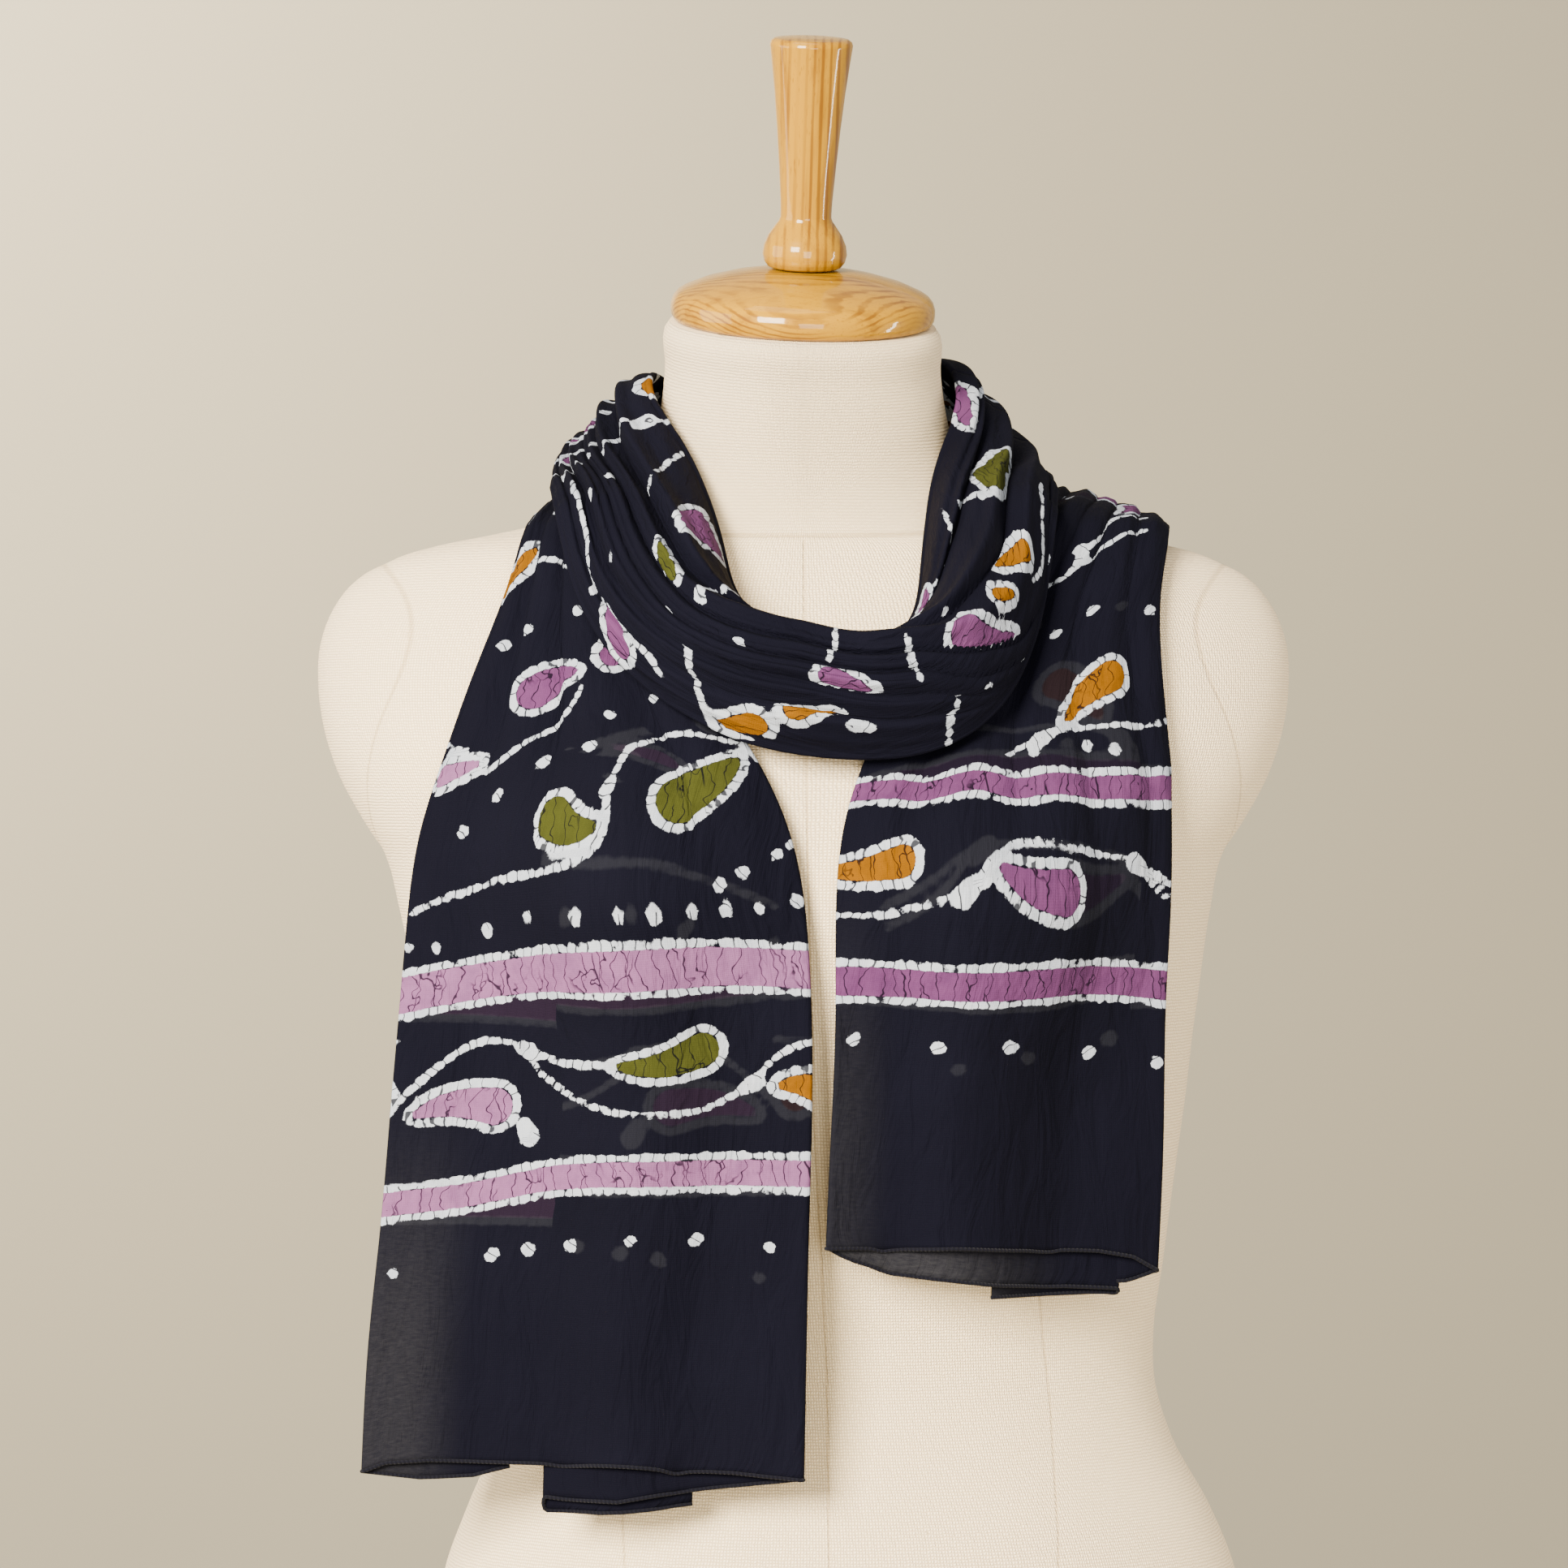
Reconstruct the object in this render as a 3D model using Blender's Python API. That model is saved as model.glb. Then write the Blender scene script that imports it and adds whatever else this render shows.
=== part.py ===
"""Stole wound once round the neck of a limbless dress form that stands on its flat underside.

Every size is in millimetres until a mesh is made. The front of the form faces -Y and +Z is up.
"""

import math

import bmesh
import bpy
import numpy as np

MM = 0.001

# ---------------------------------------------------------------- dress form
FORM_SIDES = 40
BUST_HEIGHT = 416.0
BUST_APART = 76.0
BUST_STANDS_OUT = 25.0
BUST_SPREAD_ACROSS = 46.0
BUST_SPREAD_UP = 52.0
# One row for each ring: the height of its middle, half its width, how far it reaches to the front
# and to the back, how far its middle leans to one side, how square it is and how far it tips forward.
FORM_COLUMNS = ("height", "half_width", "front", "back", "lean", "square", "tip")
FORM_RINGS = (
    (0.0, 162.0, 99.0, 113.0, 16.0, 2.15, 0.0),
    (8.0, 165.0, 101.5, 116.0, 16.0, 2.15, 0.0),
    (60.0, 171.0, 106.0, 123.0, 16.0, 2.15, 0.0),
    (100.0, 172.5, 108.5, 125.5, 16.0, 2.15, 0.0),
    (134.0, 168.0, 107.0, 123.0, 15.5, 2.15, 0.0),
    (160.0, 158.0, 103.0, 115.0, 15.0, 2.15, 0.0),
    (190.0, 143.5, 96.0, 102.0, 13.0, 2.15, 0.0),
    (215.0, 137.5, 92.0, 94.0, 11.5, 2.15, 0.0),
    (235.0, 138.5, 92.0, 92.0, 10.0, 2.15, 0.0),
    (265.0, 144.5, 96.0, 94.0, 8.0, 2.15, 0.0),
    (300.0, 151.5, 101.0, 97.0, 5.5, 2.15, 0.0),
    (340.0, 159.0, 106.0, 101.0, 3.5, 2.15, 0.0),
    (362.0, 162.5, 108.0, 103.0, 2.5, 2.15, 0.0),
    (382.0, 166.3, 110.0, 105.0, 1.5, 2.15, 0.0),
    (399.0, 169.0, 111.0, 106.5, 1.0, 2.15, 0.0),
    (415.0, 172.0, 112.0, 108.0, 0.5, 2.2, 0.0),
    (436.0, 177.0, 110.0, 109.0, 0.0, 2.25, 0.0),
    (452.0, 187.0, 107.0, 110.0, 0.0, 2.25, 0.0),
    (470.0, 197.0, 102.0, 110.0, 0.0, 2.25, 0.0),
    (490.0, 204.0, 94.0, 110.0, 0.0, 2.25, 0.0),
    (510.0, 207.0, 84.0, 108.0, 0.0, 2.2, 0.0),
    (526.0, 206.5, 75.0, 105.0, 0.0, 2.15, 0.0),
    (540.0, 202.0, 67.0, 101.0, 0.0, 2.1, 0.0),
    (550.0, 195.5, 61.5, 96.5, 0.0, 2.05, 0.0),
    (558.0, 186.0, 57.5, 91.5, 0.0, 2.0, 0.0),
    (564.0, 173.0, 54.5, 87.0, 0.0, 2.0, 0.0),
    (569.0, 155.0, 52.5, 83.0, 0.0, 2.0, 0.0),
    (573.0, 134.0, 51.5, 79.5, 0.0, 2.0, 0.5),
    (577.5, 113.0, 50.5, 75.5, 0.0, 2.0, 1.0),
    (583.0, 95.0, 50.0, 72.0, 0.0, 2.0, 1.5),
    (590.0, 81.0, 50.0, 68.5, 0.0, 2.0, 3.0),
    (598.0, 71.5, 50.5, 66.0, 0.2, 2.0, 4.5),
    (609.0, 65.0, 52.0, 63.5, 0.2, 2.0, 6.5),
    (624.0, 61.0, 55.5, 59.5, 0.0, 2.0, 9.0),
    (643.0, 58.5, 60.5, 54.5, -0.3, 2.0, 11.5),
    (660.0, 57.8, 65.5, 49.5, -0.5, 2.0, 13.0),
    (662.0, 56.3, 64.5, 48.0, -0.5, 2.0, 13.0),
)
# The cap that closes each armhole is a plug with an oval outline.
ARM_CAP_HEIGHT = 498.0
ARM_CAP_BACK = 12.0
ARM_CAP_HALF_TALL = 63.0
ARM_CAP_HALF_DEEP = 61.0
ARM_CAP_STARTS = 158.0
ARM_CAP_SIDES = 36
GAP = 0.3

# ---------------------------------------------------------------- turned wood
WOOD_SIDES = 30
NECK_LEAN = 1.8
NECK_TIP = 13.0
NECK_TOP = (-0.5, -8.0, 662.0)
# Radius and height above the neck.
CAP_PROFILE = (
    (52.5, 0.0), (55.2, 1.2), (56.0, 4.0), (56.0, 7.5), (55.0, 10.5), (51.0, 13.8),
    (43.0, 17.2), (32.0, 20.2), (21.0, 22.2), (13.0, 23.0),
)
# Radius and height above the neck, for the bead and the tapered handle.
FINIAL_PROFILE = (
    (11.0, 23.3), (15.5, 23.8), (17.4, 26.0), (17.9, 29.5), (17.2, 33.5), (15.2, 38.0),
    (12.6, 41.8), (11.0, 44.0), (10.7, 46.0), (11.0, 52.0), (12.1, 67.0), (13.5, 83.0),
    (15.0, 98.0), (16.5, 110.0), (17.4, 116.6), (17.3, 118.4), (15.6, 119.8), (9.0, 120.6),
)

# ---------------------------------------------------------------- stole
WALL = 1.1
PITCH = 2.6
# One row for each place along the stole, from the hem of one tail to the hem of the other.
# The neck edge and the outer edge are where the folded band's two long edges lie. Loft is how far
# the show side bulges, and off_neck and off_outer how far each edge is kept from the form.
STOLE_COLUMNS = (
    "neck_x", "neck_y", "neck_z", "outer_x", "outer_y", "outer_z", "loft", "off_neck", "off_outer",
)
TAIL_RIGHT = (
    (9.0, -124.0, 280.0, 142.0, -92.0, 269.0, 0.0, 2.5, 2.5),
    (11.0, -124.0, 324.0, 144.5, -90.0, 321.0, 0.0, 2.5, 2.5),
    (13.5, -124.0, 374.0, 145.0, -88.0, 376.0, 0.0, 4.5, 4.5),
    (14.5, -122.0, 413.0, 147.0, -86.0, 415.0, 0.0, 4.5, 4.5),
    (16.0, -118.0, 443.0, 147.5, -82.0, 444.0, 0.0, 4.5, 4.5),
    (20.5, -113.0, 464.0, 146.0, -76.0, 470.0, 0.0, 4.5, 4.5),
    (28.0, -107.0, 482.0, 146.0, -70.0, 497.0, 0.0, 2.5, 2.5),
    (36.0, -96.0, 503.0, 145.0, -60.0, 521.0, 0.0, 2.5, 2.5),
    (49.0, -83.0, 524.0, 145.5, -46.0, 541.0, 0.0, 2.5, 2.5),
    (65.0, -64.0, 545.0, 147.5, -32.0, 556.0, 0.0, 3.0, 3.5),
    (82.0, -40.0, 566.0, 151.0, -14.0, 567.0, 2.0, 3.5, 3.5),
    (95.0, -12.0, 580.0, 154.0, 4.0, 573.0, 4.0, 2.5, 2.5),
)
WRAP_OUTER = (
    (101.0, 16.0, 588.0, 155.0, 26.0, 573.0, 5.0, 3.0, 3.0),
    (98.0, 44.0, 588.0, 146.0, 58.0, 565.0, 4.0, 4.0, 4.0),
    (86.0, 68.0, 590.0, 120.0, 88.0, 555.0, 3.0, 7.0, 5.0),
    (64.0, 84.0, 598.0, 82.0, 103.0, 553.0, 4.0, 11.0, 8.0),
    (36.0, 91.0, 614.0, 42.0, 112.5, 562.0, 5.0, 15.0, 11.5),
    (6.0, 88.0, 634.0, 2.0, 114.0, 576.0, 6.0, 14.0, 13.0),
    (-22.0, 79.0, 646.0, -39.0, 107.0, 587.0, 5.0, 14.0, 14.0),
    (-44.0, 59.0, 641.0, -77.0, 86.0, 602.0, 2.0, 11.0, 14.0),
    (-57.0, 34.0, 635.0, -99.0, 54.0, 609.0, 0.0, 6.0, 14.0),
)
LOOP_FRONT = (
    (-59.5, 8.0, 642.0, -102.0, 18.0, 601.0, 0.0, 2.6, 12.0),
    (-55.5, -20.0, 627.0, -103.0, -10.0, 587.0, 2.0, 3.0, 13.0),
    (-48.0, -39.0, 606.0, -100.0, -34.0, 569.0, 7.0, 4.0, 14.0),
    (-39.0, -53.0, 582.0, -95.0, -57.0, 547.0, 13.0, 7.0, 14.0),
    (-32.5, -66.0, 558.0, -85.0, -79.0, 524.0, 19.0, 11.0, 14.0),
    (-29.0, -76.0, 536.0, -65.0, -97.0, 502.0, 22.0, 13.0, 14.0),
    (-15.0, -84.0, 526.0, -39.0, -110.0, 486.0, 25.0, 13.0, 14.0),
    (2.0, -87.0, 523.5, -8.0, -117.0, 478.0, 27.0, 11.0, 13.0),
    (20.0, -87.0, 518.0, 25.0, -120.0, 475.0, 27.0, 12.5, 14.0),
    (36.0, -84.0, 515.5, 56.0, -116.0, 475.0, 26.0, 14.5, 15.0),
    (44.5, -75.0, 523.0, 76.0, -105.0, 488.0, 23.0, 13.0, 15.0),
    (47.5, -63.0, 545.0, 89.0, -86.0, 511.0, 20.0, 10.0, 14.0),
    (50.0, -51.0, 570.0, 97.0, -66.0, 534.0, 15.0, 7.0, 13.0),
    (53.5, -37.0, 593.0, 100.0, -42.0, 559.0, 10.0, 3.0, 13.0),
    (57.5, -16.0, 620.0, 101.5, -14.0, 582.0, 3.0, 3.0, 13.0),
)
WRAP_INNER = (
    (59.5, 8.0, 643.0, 99.5, 16.0, 590.0, 1.0, 2.6, 12.0),
    (54.5, 29.0, 647.0, 93.0, 45.0, 595.0, 2.0, 3.0, 10.0),
    (38.0, 51.0, 649.0, 72.0, 74.0, 600.0, 5.0, 3.0, 6.0),
    (12.0, 64.0, 643.0, 36.0, 90.0, 594.0, 3.0, 3.0, 3.0),
    (-16.0, 68.0, 632.0, -6.0, 98.0, 584.0, 3.0, 3.0, 3.0),
    (-42.0, 61.0, 620.0, -50.0, 96.0, 571.0, 2.0, 3.0, 3.0),
    (-61.0, 43.0, 610.0, -87.0, 81.0, 567.0, 1.0, 3.0, 3.0),
    (-70.0, 20.0, 605.0, -106.0, 50.0, 574.0, 0.0, 3.0, 3.0),
)
TAIL_LEFT = (
    (-73.0, -4.0, 598.0, -104.5, 18.0, 579.0, 0.0, 2.5, 2.5),
    (-75.0, -28.0, 584.0, -107.0, -10.0, 575.0, 0.0, 2.5, 2.5),
    (-73.0, -48.0, 566.0, -113.5, -34.0, 562.0, 0.0, 2.5, 2.5),
    (-64.0, -66.0, 545.0, -121.5, -52.0, 543.0, 0.0, 2.5, 2.5),
    (-50.0, -84.0, 521.0, -131.0, -66.0, 519.0, 0.0, 2.5, 2.5),
    (-35.0, -98.0, 499.0, -138.0, -76.0, 500.0, 0.0, 2.5, 2.5),
    (-20.0, -107.0, 476.0, -145.5, -80.0, 475.0, 0.0, 4.5, 4.5),
    (-7.0, -114.0, 446.0, -156.0, -80.0, 446.0, 0.0, 4.5, 4.5),
    (-1.0, -120.0, 413.0, -160.5, -82.0, 408.0, 0.0, 4.5, 4.5),
    (2.0, -124.0, 376.0, -163.5, -86.0, 373.0, 0.0, 4.5, 4.5),
    (2.5, -125.0, 337.0, -167.0, -90.0, 332.0, 0.0, 2.5, 2.5),
    (1.0, -125.0, 289.0, -170.5, -92.0, 288.0, 0.0, 2.5, 2.5),
    (0.0, -125.0, 240.0, -176.0, -94.0, 238.0, 0.0, 2.5, 2.5),
    (-1.0, -125.0, 187.0, -178.5, -95.0, 187.0, 0.0, 2.5, 2.5),
)
STRETCHES = (
    ("tail_right", TAIL_RIGHT, 22.0),
    ("wrap_outer", WRAP_OUTER, 20.0),
    ("loop_front", LOOP_FRONT, 15.0),
    ("wrap_inner", WRAP_INNER, 20.0),
    ("tail_left", TAIL_LEFT, 22.0),
)
# How the band is folded. Its width counts as 12 parts from the neck edge, and one row for each
# stretch says at which part each turned-in layer ends or folds, and how many points each part has.
PARTS = 12
LAYER_COLUMNS = ("inner_end", "inner_fold", "outer_end", "finer")
LAYERS = {
    "tail_right": (6, 10, 11, 1),
    "wrap_outer": (4, 7, 9, 1),
    "loop_front": (4, 7, 9, 2),
    "wrap_inner": (4, 7, 9, 1),
    "tail_left": (3, 7, 8, 1),
}
TURN_POINTS = 2
# Soft folds of the show side: the stretch, where across the band each lies at the start, middle and
# end of it, its height at the same three places and its half width across.
FOLD_COLUMNS = ("stretch", "start", "middle", "end", "high_start", "high_middle", "high_end", "half")
FOLDS = (
    ("loop_front", 0.16, 0.12, 0.14, 1.5, 3.0, 2.0, 5.0),
    ("loop_front", 0.34, 0.30, 0.36, 2.5, 5.0, 2.5, 9.0),
    ("loop_front", 0.52, 0.56, 0.54, 2.5, 3.5, 3.0, 5.0),
    ("loop_front", 0.69, 0.71, 0.70, 2.5, 4.0, 2.5, 5.0),
    ("loop_front", 0.86, 0.86, 0.86, 2.5, 3.5, 2.5, 5.0),
    ("wrap_outer", 0.20, 0.24, 0.20, 1.5, 2.5, 2.5, 6.0),
    ("wrap_outer", 0.48, 0.52, 0.46, 1.5, 3.0, 3.0, 6.0),
    ("wrap_outer", 0.76, 0.80, 0.78, 1.5, 2.5, 3.0, 6.0),
    ("wrap_inner", 0.22, 0.26, 0.30, 3.0, 2.0, 1.0, 6.0),
    ("wrap_inner", 0.50, 0.56, 0.62, 3.0, 2.0, 1.0, 6.0),
    ("wrap_inner", 0.80, 0.82, 0.88, 3.0, 2.0, 1.0, 6.0),
    ("tail_left", 0.30, 0.44, 0.50, 2.0, 2.5, 0.5, 14.0),
    ("tail_left", 0.74, 0.80, 0.84, 3.0, 2.0, 0.5, 12.0),
    ("tail_right", 0.60, 0.62, 0.64, 0.5, 2.5, 2.0, 11.0),
    ("tail_right", 0.24, 0.26, 0.30, 0.5, 1.5, 1.5, 12.0),
)
# How far each layer of a tail's hem hangs below the straight line between the band's corners: the
# tail, the layer, places across the band and the drop at each.
HEM_COLUMNS = ("stretch", "layer", "shares", "drops")
HEMS = (
    ("tail_right", "inner", (0.5, 0.65, 0.83), (15.0, 13.5, 11.0)),
    ("tail_right", "wrap", (0.0, 0.06, 0.2, 0.5, 0.83), (0.0, 4.0, 8.0, 10.0, 9.0)),
    ("tail_right", "show", (0.0, 0.3, 0.57, 0.82, 0.93, 1.0), (0.0, -3.0, -5.0, -6.0, -4.5, 0.0)),
    ("tail_right", "outer", (0.8, 0.92, 1.0), (7.0, 5.5, 1.0)),
    ("tail_left", "inner", (0.25, 0.33, 0.45, 0.58), (11.0, 13.0, 15.0, 15.0)),
    ("tail_left", "wrap", (0.0, 0.3, 0.42, 0.58), (0.0, 6.0, 10.5, 9.0)),
    ("tail_left", "show", (0.0, 0.15, 0.5, 0.85, 0.95, 1.0), (0.0, -2.5, -4.5, -5.0, -3.5, 0.0)),
    ("tail_left", "outer", (0.67, 0.75, 0.87, 1.0), (-3.0, 1.0, 2.5, 0.5)),
)
HEM_DROP_FADES = 150.0
HANG_BACK = 0.06
BED_STEP = 5.0
BED_ACROSS = 25
BED_PASSES = 16

# ---------------------------------------------------------------- colours, linear
MATERIALS = {
    "canvas": ((0.78, 0.71, 0.60), 0.9),
    "wood": ((0.62, 0.36, 0.10), 0.25),
    "batik": ((0.012, 0.012, 0.035), 0.85),
}


def clear_scene():
    for item in list(bpy.data.objects):
        bpy.data.objects.remove(item, do_unlink=True)


def material(name):
    colour, roughness = MATERIALS[name]
    made = bpy.data.materials.new(name)
    made.use_nodes = True
    shader = made.node_tree.nodes["Principled BSDF"]
    shader.inputs["Base Color"].default_value = (*colour, 1.0)
    shader.inputs["Roughness"].default_value = roughness
    made.diffuse_color = (*colour, 1.0)
    return made


def object_from(name, points, faces, coat, smooth=True):
    """One object from points in millimetres, its faces turned outwards."""
    mesh = bpy.data.meshes.new(name)
    mesh.from_pydata([tuple(point) for point in np.asarray(points) * MM], [], faces)
    shape = bmesh.new()
    shape.from_mesh(mesh)
    bmesh.ops.recalc_face_normals(shape, faces=shape.faces)
    shape.to_mesh(mesh)
    shape.free()
    for face in mesh.polygons:
        face.use_smooth = smooth
    made = bpy.data.objects.new(name, mesh)
    bpy.context.scene.collection.objects.link(made)
    made.data.materials.append(coat)
    return made


def ring_faces(rings, sides):
    """Quads between rings of points, and a face over each end."""
    faces = []
    for low in range(rings - 1):
        for side in range(sides):
            after = (side + 1) % sides
            faces.append((
                low * sides + side, low * sides + after,
                (low + 1) * sides + after, (low + 1) * sides + side,
            ))
    faces.append(tuple(range(sides - 1, -1, -1)))
    faces.append(tuple((rings - 1) * sides + side for side in range(sides)))
    return faces


# ---------------------------------------------------------------- the form
RING_TABLE = {name: np.array(column) for name, column in zip(FORM_COLUMNS, zip(*FORM_RINGS))}


def ring_value(name, height):
    return np.interp(height, RING_TABLE["height"], RING_TABLE[name])


def bust(across, height):
    """How far the bust stands forward of the plain ring."""
    up = np.exp(-((height - BUST_HEIGHT) / BUST_SPREAD_UP) ** 2)
    side = np.exp(-((np.abs(across) - BUST_APART) / BUST_SPREAD_ACROSS) ** 2)
    return BUST_STANDS_OUT * up * side


def form_points():
    points = []
    for row in FORM_RINGS:
        height, half_width, front, back, lean, square, tip = row
        middle = (back - front) / 2.0
        half_deep = (back + front) / 2.0
        for side in range(FORM_SIDES):
            turn = 2.0 * math.pi * side / FORM_SIDES
            cosine, sine = math.cos(turn), math.sin(turn)
            across = half_width * math.copysign(abs(cosine) ** (2.0 / square), cosine)
            deep = half_deep * math.copysign(abs(sine) ** (2.0 / square), sine)
            if deep < 0.0:
                deep -= float(bust(across, height)) * min(1.0, -deep / 40.0)
            roll = math.radians(NECK_LEAN * tip / NECK_TIP)
            points.append((
                across * math.cos(roll) + lean,
                middle + deep * math.cos(math.radians(tip)),
                height + deep * math.sin(math.radians(tip)) - across * math.sin(roll),
            ))
    return points


def form_ratio(points):
    """How far out each point is, as a share of the form's own ring at its level."""
    x, y, z = points[..., 0], points[..., 1], points[..., 2]
    height = z
    for _ in range(4):
        middle = (ring_value("back", height) - ring_value("front", height)) / 2.0
        height = z - (y - middle) * np.tan(np.radians(ring_value("tip", height)))
    middle = (ring_value("back", height) - ring_value("front", height)) / 2.0
    half_deep = (ring_value("back", height) + ring_value("front", height)) / 2.0
    across = np.abs(x - ring_value("lean", height))
    deep = y - middle
    deep = np.where(deep < 0.0, np.minimum(deep + bust(across, height), -0.001), deep)
    square = ring_value("square", height)
    sum_of = (across / ring_value("half_width", height)) ** square
    sum_of = sum_of + (np.abs(deep) / half_deep) ** square
    return sum_of ** (1.0 / square)


def form_distance(points):
    """How far each point is from the form, and the way out of it."""
    step = 0.6
    here = form_ratio(points)
    slope = np.zeros(points.shape)
    for axis in range(3):
        nudge = np.zeros(3)
        nudge[axis] = step
        slope[..., axis] = (form_ratio(points + nudge) - form_ratio(points - nudge)) / (2 * step)
    steep = np.maximum(np.linalg.norm(slope, axis=-1), 1e-4)
    return (here - 1.0) / steep, slope / steep[..., None]


def keep_off_form(points, gap):
    """Points nearer to the form than the gap are moved straight out to it."""
    for _ in range(6):
        distance, out = form_distance(points)
        short = np.clip(gap - distance, 0.0, 8.0)
        points = points + out * short[..., None]
    return points


def oval_plug(name, side, spare, starts):
    """A cutter with an oval outline that reaches out sideways from the armhole."""
    points = []
    for reach in (starts, 260.0):
        for corner in range(ARM_CAP_SIDES):
            turn = 2.0 * math.pi * (corner + 0.5) / ARM_CAP_SIDES
            points.append((
                side * reach,
                ARM_CAP_BACK + (ARM_CAP_HALF_DEEP + spare) * math.cos(turn),
                ARM_CAP_HEIGHT + (ARM_CAP_HALF_TALL + spare) * math.sin(turn),
            ))
    plug = object_from(name, points, ring_faces(2, ARM_CAP_SIDES), bpy.data.materials["canvas"], False)
    plug.hide_render = True
    plug.display_type = "WIRE"
    return plug


def cut(target, cutter, operation):
    change = target.modifiers.new(cutter.name, "BOOLEAN")
    change.operation = operation
    change.object = cutter
    change.solver = "EXACT"


def build_form():
    canvas = material("canvas")
    points = form_points()
    faces = ring_faces(len(FORM_RINGS), FORM_SIDES)
    torso = object_from("form_torso", points, faces, canvas)
    for word, side in (("left", -1.0), ("right", 1.0)):
        cut(torso, oval_plug("armhole_" + word, side, GAP, ARM_CAP_STARTS - GAP), "DIFFERENCE")
        arm_cap = object_from("form_arm_cap_" + word, points, faces, canvas)
        cut(arm_cap, oval_plug("arm_plug_" + word, side, 0.0, ARM_CAP_STARTS), "INTERSECT")


# ---------------------------------------------------------------- turned wood
def neck_frame():
    """The neck's own upward line, and two lines square to it."""
    tip, lean = math.radians(NECK_TIP), math.radians(NECK_LEAN)
    up = np.array((math.sin(lean), -math.sin(tip), math.cos(tip) * math.cos(lean)))
    up = up / np.linalg.norm(up)
    right = np.cross((0.0, 1.0, 0.0), up)
    right = right / np.linalg.norm(right)
    return up, right, np.cross(up, right)


def turned(name, profile, foot, coat):
    """A solid of revolution on the neck's line, from a profile of radii and heights."""
    up, right, away = neck_frame()
    points = []
    for radius, height in profile:
        for side in range(WOOD_SIDES):
            turn = 2.0 * math.pi * side / WOOD_SIDES
            spread = right * math.cos(turn) + away * math.sin(turn)
            points.append(np.array(NECK_TOP) + up * (height + foot) + spread * radius)
    return object_from(name, points, ring_faces(len(profile), WOOD_SIDES), coat)


def build_wood():
    wood = material("wood")
    turned("neck_cap", CAP_PROFILE, GAP, wood)
    turned("finial", FINIAL_PROFILE, GAP, wood)


# ---------------------------------------------------------------- the stole
def smooth_columns(rows, knots, places):
    """A smooth line through every row, read at each place along it."""
    rows = np.asarray(rows, float)
    slopes = np.gradient(rows, knots, axis=0)
    after = np.clip(np.searchsorted(knots, places, side="right"), 1, len(knots) - 1)
    before = after - 1
    span = (knots[after] - knots[before])[:, None]
    share = ((places - knots[before])[:, None]) / span
    square, cube = share ** 2, share ** 3
    return (
        (2 * cube - 3 * square + 1) * rows[before] + (cube - 2 * square + share) * span * slopes[before]
        + (3 * square - 2 * cube) * rows[after] + (cube - square) * span * slopes[after]
    )


def stole_path():
    """All the rows, and how far along the stole each lies."""
    rows = np.array([row for _, table, _ in STRETCHES for row in table], float)
    middles = (rows[:, 0:3] + rows[:, 3:6]) / 2.0
    steps = np.linalg.norm(np.diff(middles, axis=0), axis=1)
    return rows, np.concatenate(([0.0], np.cumsum(steps)))


def stretch_ends(knots):
    """Where along the stole each stretch begins and ends: at the first row of the next."""
    ends = {}
    first = 0
    for name, table, _ in STRETCHES:
        last = min(first + len(table), len(knots) - 1)
        ends[name] = (knots[first], knots[last])
        first += len(table)
    return ends


def section(name):
    """Across the folded band: share of the width, layer and reach past it, for each point."""
    inner_end, inner_fold, outer_end, finer = LAYERS[name]
    half = PITCH / 2.0
    inner = layer_points(inner_end, inner_fold, 1, 0.0)
    inner += arc(inner_fold / PARTS, 0.0, 1.0, half)
    inner += layer_points(inner_fold, 0, 1, 1.0)
    inner += arc(0.0, 1.0, 2.0, -half)
    show = layer_points(0, PARTS, finer, 2.0)
    outer = arc(1.0, 2.0, 1.0, half)
    outer += layer_points(PARTS, outer_end, 1, 1.0)
    return np.array(inner + show + outer)


def layer_points(first, last, finer, layer):
    """Points of one layer, in the same places across the band as those of every other layer."""
    count = abs(last - first) * finer + 1
    return [(share, layer, 0.0) for share in np.linspace(first, last, count) / PARTS]


def arc(share, from_layer, to_layer, radius):
    """The round turn where one layer folds over into the next."""
    points = []
    for number in range(1, TURN_POINTS + 1):
        turn = math.pi * number / (TURN_POINTS + 1)
        layer = from_layer + (to_layer - from_layer) * (0.5 - 0.5 * math.cos(turn))
        points.append((share, layer, radius * math.sin(turn)))
    return points


def show_height(name, share, along, width):
    """How far the show side's soft folds stand out."""
    high = np.zeros(np.broadcast(share, along).shape)
    for row in FOLDS:
        fold = dict(zip(FOLD_COLUMNS, row))
        if fold["stretch"] != name:
            continue
        middle = np.interp(along, (0.0, 0.5, 1.0), (fold["start"], fold["middle"], fold["end"]))
        top = np.interp(along, (0.0, 0.5, 1.0),
                        (fold["high_start"], fold["high_middle"], fold["high_end"]))
        high = high + top * np.exp(-((share - middle) * width / fold["half"]) ** 2)
    return high


def unit(vectors):
    return vectors / np.maximum(np.linalg.norm(vectors, axis=-1, keepdims=True), 1e-9)


def bed(columns, across):
    """The surface that the folded band lies on: rows by shares across, kept off the form."""
    neck, outer = columns[:, None, 0:3], columns[:, None, 3:6]
    share = across[None, :, None]
    gap = edge_gap(columns, across)
    points = neck + (outer - neck) * share
    for _ in range(BED_PASSES):
        points = evened(keep_off_form(points, gap))
    return keep_off_form(points, gap)


def edge_gap(columns, across):
    """How far each point of the bed is kept from the form."""
    return columns[:, 7:8] + (columns[:, 8:9] - columns[:, 7:8]) * across[None, :]


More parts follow.
